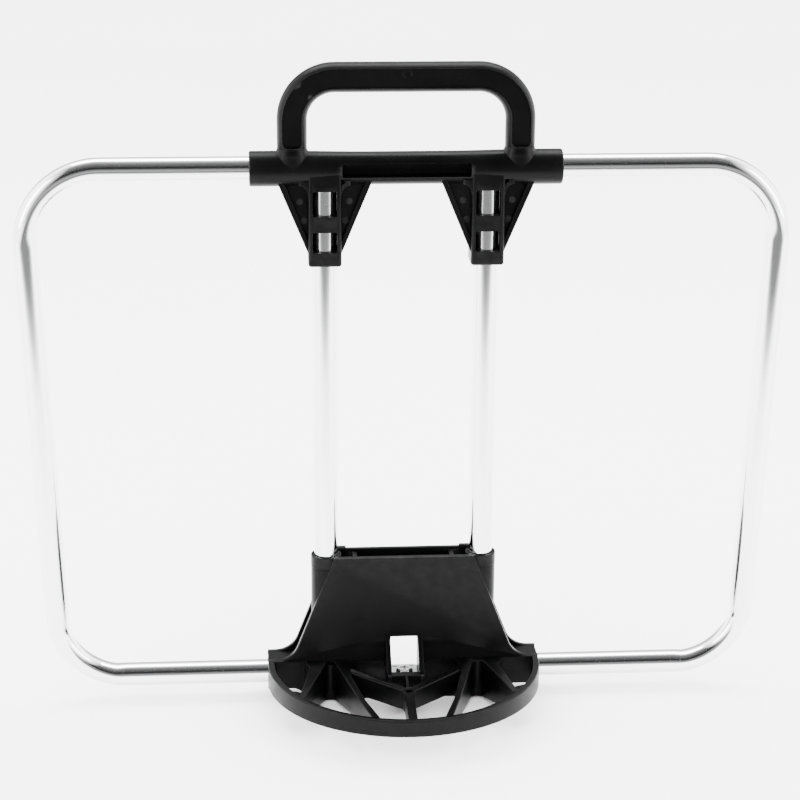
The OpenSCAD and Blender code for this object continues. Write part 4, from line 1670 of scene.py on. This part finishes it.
@dataclass
class Studio:
    """Camera, plain floor, soft light, and dark sheets that paint shade into reflections."""

    lens: float = 96.3
    camera_at: tuple[float, float, float] = (-78.8, -1062.1, 525.9)
    looks_at: tuple[float, float, float] = (-2.3, 0.0, 168.4)
    roll: float = 0.391
    air: float = 6.5
    overhead_power: float = 36.0
    side_power: float = 9.0
    arch_r: float = 2.2
    arch_fade: Fade = (
        (0.0, 0.88),
        (0.12, 0.93),
        (0.2, 0.985),
        (0.27, 1.0),
        (0.4, 0.985),
        (0.58, 0.96),
        (0.68, 0.9),
        (0.82, 0.6),
        (1.0, 0.0),
    )
    floor_fade: Fade = ((0.0, 0.94), (0.6, 0.95), (0.72, 0.945), (0.8, 0.75), (0.88, 0.2), (1.0, 0.0))
    back_fade: Fade = ((0.0, 0.8), (0.55, 0.8), (0.8, 0.4), (1.0, 0.0))

    def build(self) -> None:
        """Make everything that isn't the object."""
        self.camera()
        self.floor()
        self.lights()
        self.painted_shade()

    def camera(self) -> None:
        """A long lens looking slightly down at the front."""
        data = bpy.data.cameras.new("camera")
        data.lens, data.sensor_width = self.lens, 36.0
        camera = bpy.data.objects.new("camera", data)
        bpy.context.scene.collection.objects.link(camera)
        at, to = Vector(self.camera_at) * MM, Vector(self.looks_at) * MM
        forward = (to - at).normalized()
        right = forward.cross(Vector((0, 0, 1))).normalized()
        up = right.cross(forward)
        turn = math.radians(self.roll)
        x = right * math.cos(turn) + up * math.sin(turn)
        y = up * math.cos(turn) - right * math.sin(turn)
        camera.matrix_world = Matrix.Translation(at) @ Matrix((x, y, -forward)).transposed().to_4x4()
        bpy.context.scene.camera = camera

    def floor(self) -> None:
        """A pale floor that reaches far behind the object."""
        bm = bmesh.new()
        bmesh.ops.create_grid(bm, x_segments=8, y_segments=8, size=6.0)
        mesh = bpy.data.meshes.new("floor")
        bm.to_mesh(mesh)
        bm.free()
        floor = bpy.data.objects.new("floor", mesh)
        material, wiring, shader = new_material("pale floor")
        coords = wiring.node("ShaderNodeTexCoord").outputs["Object"]
        mottle = wiring.noise(coords, 3.0, 3.0)
        tone = wiring.blend(mottle, (0.88, 0.88, 0.88, 1), (0.91, 0.91, 0.91, 1))
        wiring.feed(shader, {"Base Color": tone, "Roughness": 0.8, "Specular IOR Level": 0.2})
        mesh.materials.append(material)
        bpy.context.scene.collection.objects.link(floor)

    def lights(self) -> None:
        """White surroundings, an overhead softbox and two side softboxes."""
        world = bpy.data.worlds.new("studio air")
        world.use_nodes = True
        background = next(n for n in world.node_tree.nodes if n.type == "BACKGROUND")
        background.inputs["Color"].default_value = (1.0, 1.0, 1.0, 1.0)
        background.inputs["Strength"].default_value = self.air
        bpy.context.scene.world = world
        aim = (0.0, 0.0, 0.15)
        place = (0.0, 0.45, 1.45)
        self._softbox("overhead softbox", place, aim, (1.5, 0.6), self.overhead_power)
        for side in Side:
            place = (1.3 * side.value, -0.5, 0.7)
            self._softbox(f"{side.name.lower()} softbox", place, aim, (0.4, 1.0), self.side_power)

    @staticmethod
    def _softbox(
        name: str,
        at: tuple[float, float, float],
        to: tuple[float, float, float],
        size: tuple[float, float],
        power: float,
    ) -> None:
        """Hang an area light and aim it.

        Args:
            name: Its name.
            at: Its place, in metres.
            to: The point it faces.
            size: Width and height.
            power: Watts.
        """
        data = bpy.data.lights.new(name, "AREA")
        data.shape = "RECTANGLE"
        data.size, data.size_y = size
        data.energy = power
        lamp = bpy.data.objects.new(name, data)
        lamp.location = at
        lamp.rotation_mode = "QUATERNION"
        lamp.rotation_quaternion = (Vector(to) - Vector(at)).to_track_quat("-Z", "Y")
        lamp.visible_camera = False
        bpy.context.scene.collection.objects.link(lamp)

    def painted_shade(self) -> None:
        """Painted shade: dark sheets that only reflections show, standing in for the dim parts of the
        room: two tall arches and a sheet low over the floor.
        """
        radius, middle = self.arch_r, 0.15
        turns = [math.radians(6.0 * k - 4.0) for k in range(22)]
        arch = [(middle + radius * math.sin(a), -radius * math.cos(a)) for a in turns]
        back = [(middle + radius * math.sin(a), radius * math.cos(a)) for a in turns[:12]]
        self._painted_shade_sheet("painted_shade_back", back, self.back_fade, (1.3, 2.8))
        self._painted_shade_sheet("painted_shade_arch", arch, self.arch_fade, (1.3, 2.8))
        self._painted_shade_sheet("painted_shade_floor", [(0.004, -2.19), (0.004, -0.3)], self.floor_fade, (0.75, 1.5))

    @staticmethod
    def _painted_shade_sheet(
        name: str,
        line: Sequence[Point],
        fade: Fade,
        sides: tuple[float, float],
    ) -> None:
        """Put up a dark sheet of painted shade, seen only in reflections, whose opacity changes along its
        section and towards its sides.

        Args:
            name: Its name.
            line: Its section, as (height, Y) in metres, from the floor upwards or towards the object.
            fade: Its opacity along the section.
            sides: Distances from the middle where it starts to fade sideways and where it ends.
        """
        mesh = bpy.data.meshes.new(name)
        points = [(x, y, z) for z, y in line for x in (-3.0, 3.0)]
        faces = [(2 * k, 2 * k + 1, 2 * k + 3, 2 * k + 2) for k in range(len(line) - 1)]
        mesh.from_pydata(points, [], faces)
        share = mesh.attributes.new("share", "FLOAT", "POINT")
        for k in range(len(points)):
            share.data[k].value = (k // 2) / (len(line) - 1)
        painted_shade = bpy.data.objects.new(name, mesh)
        material, wiring, shader = new_material(name)
        ramp = wiring.node("ShaderNodeValToRGB", {"Fac": wiring.attribute("share")})
        stops = ramp.color_ramp.elements
        for position, opacity in fade[2:]:
            stops.new(position)
        for stop, (position, opacity) in zip(stops, fade):
            stop.position = position
            stop.color = (opacity, opacity, opacity, 1.0)
        coords = wiring.node("ShaderNodeTexCoord").outputs["Object"]
        x = wiring.node("ShaderNodeSeparateXYZ", {0: coords}).outputs["X"]
        across = wiring.remap(wiring.math("ABSOLUTE", x), sides[0], sides[1], 1.0, 0.0)
        feeds = {
            "Alpha": wiring.math("MULTIPLY", ramp.outputs[0], across),
            # Near-black: the painted shade that glossy reflections pick up.
            "Base Color": (0.004, 0.004, 0.004, 1),
            "Roughness": 1.0,
            "Specular IOR Level": 0.0,
        }
        wiring.feed(shader, feeds)
        mesh.materials.append(material)
        bpy.context.scene.collection.objects.link(painted_shade)
        # Hidden from every ray but glossy ones, so the sheet only darkens reflections.
        for ray in ("camera", "diffuse", "transmission", "volume_scatter", "shadow"):
            setattr(painted_shade, f"visible_{ray}", False)


# ---------------------------------------------------------------- making it


def main() -> None:
    """Build the finishes, the pieces and the studio."""
    logging.basicConfig(level=logging.INFO, format="%(name)s: %(message)s")
    effects = Effects.build()
    plastic = MouldedPlastic("black moulded plastic").material(effects)
    plug = MouldedPlastic("plug plastic", colour=(0.03, 0.03, 0.032), roughness=0.5).material(effects)
    aluminium = PolishedTube("polished aluminium").material(effects)
    plated = PlatedSteel("zinc plate").material(effects)
    bright = PlatedSteel("bright zinc screw", colour=(0.76, 0.76, 0.77), roughness=0.24).material(effects)
    gauge = Gauge.measure()
    tree = SweepTree("tube sweep").build()
    for side in Side:
        label = side.name.lower()
        LoopTube(
            f"{label}_loop_tube",
            tree,
            aluminium,
            gauge.tube_r,
            side=side,
            low=gauge.low,
            high=gauge.high,
            end=gauge.loop_end,
        ).build()
        Upright(
            f"{label}_upright",
            tree,
            aluminium,
            gauge.tube_r,
            x=side.value * gauge.upright_x,
            foot=gauge.upright_foot,
            head=gauge.upright_head,
        ).build()
    HandleMoulding(gauge).build(plastic)
    BaseMoulding(gauge).build(plastic)
    catch = Catch(gauge)
    catch.build_plate(plated)
    catch.build_screw(bright)
    Plugs().dress(plug)
    Studio().build()


if __name__ == "__main__":
    main()
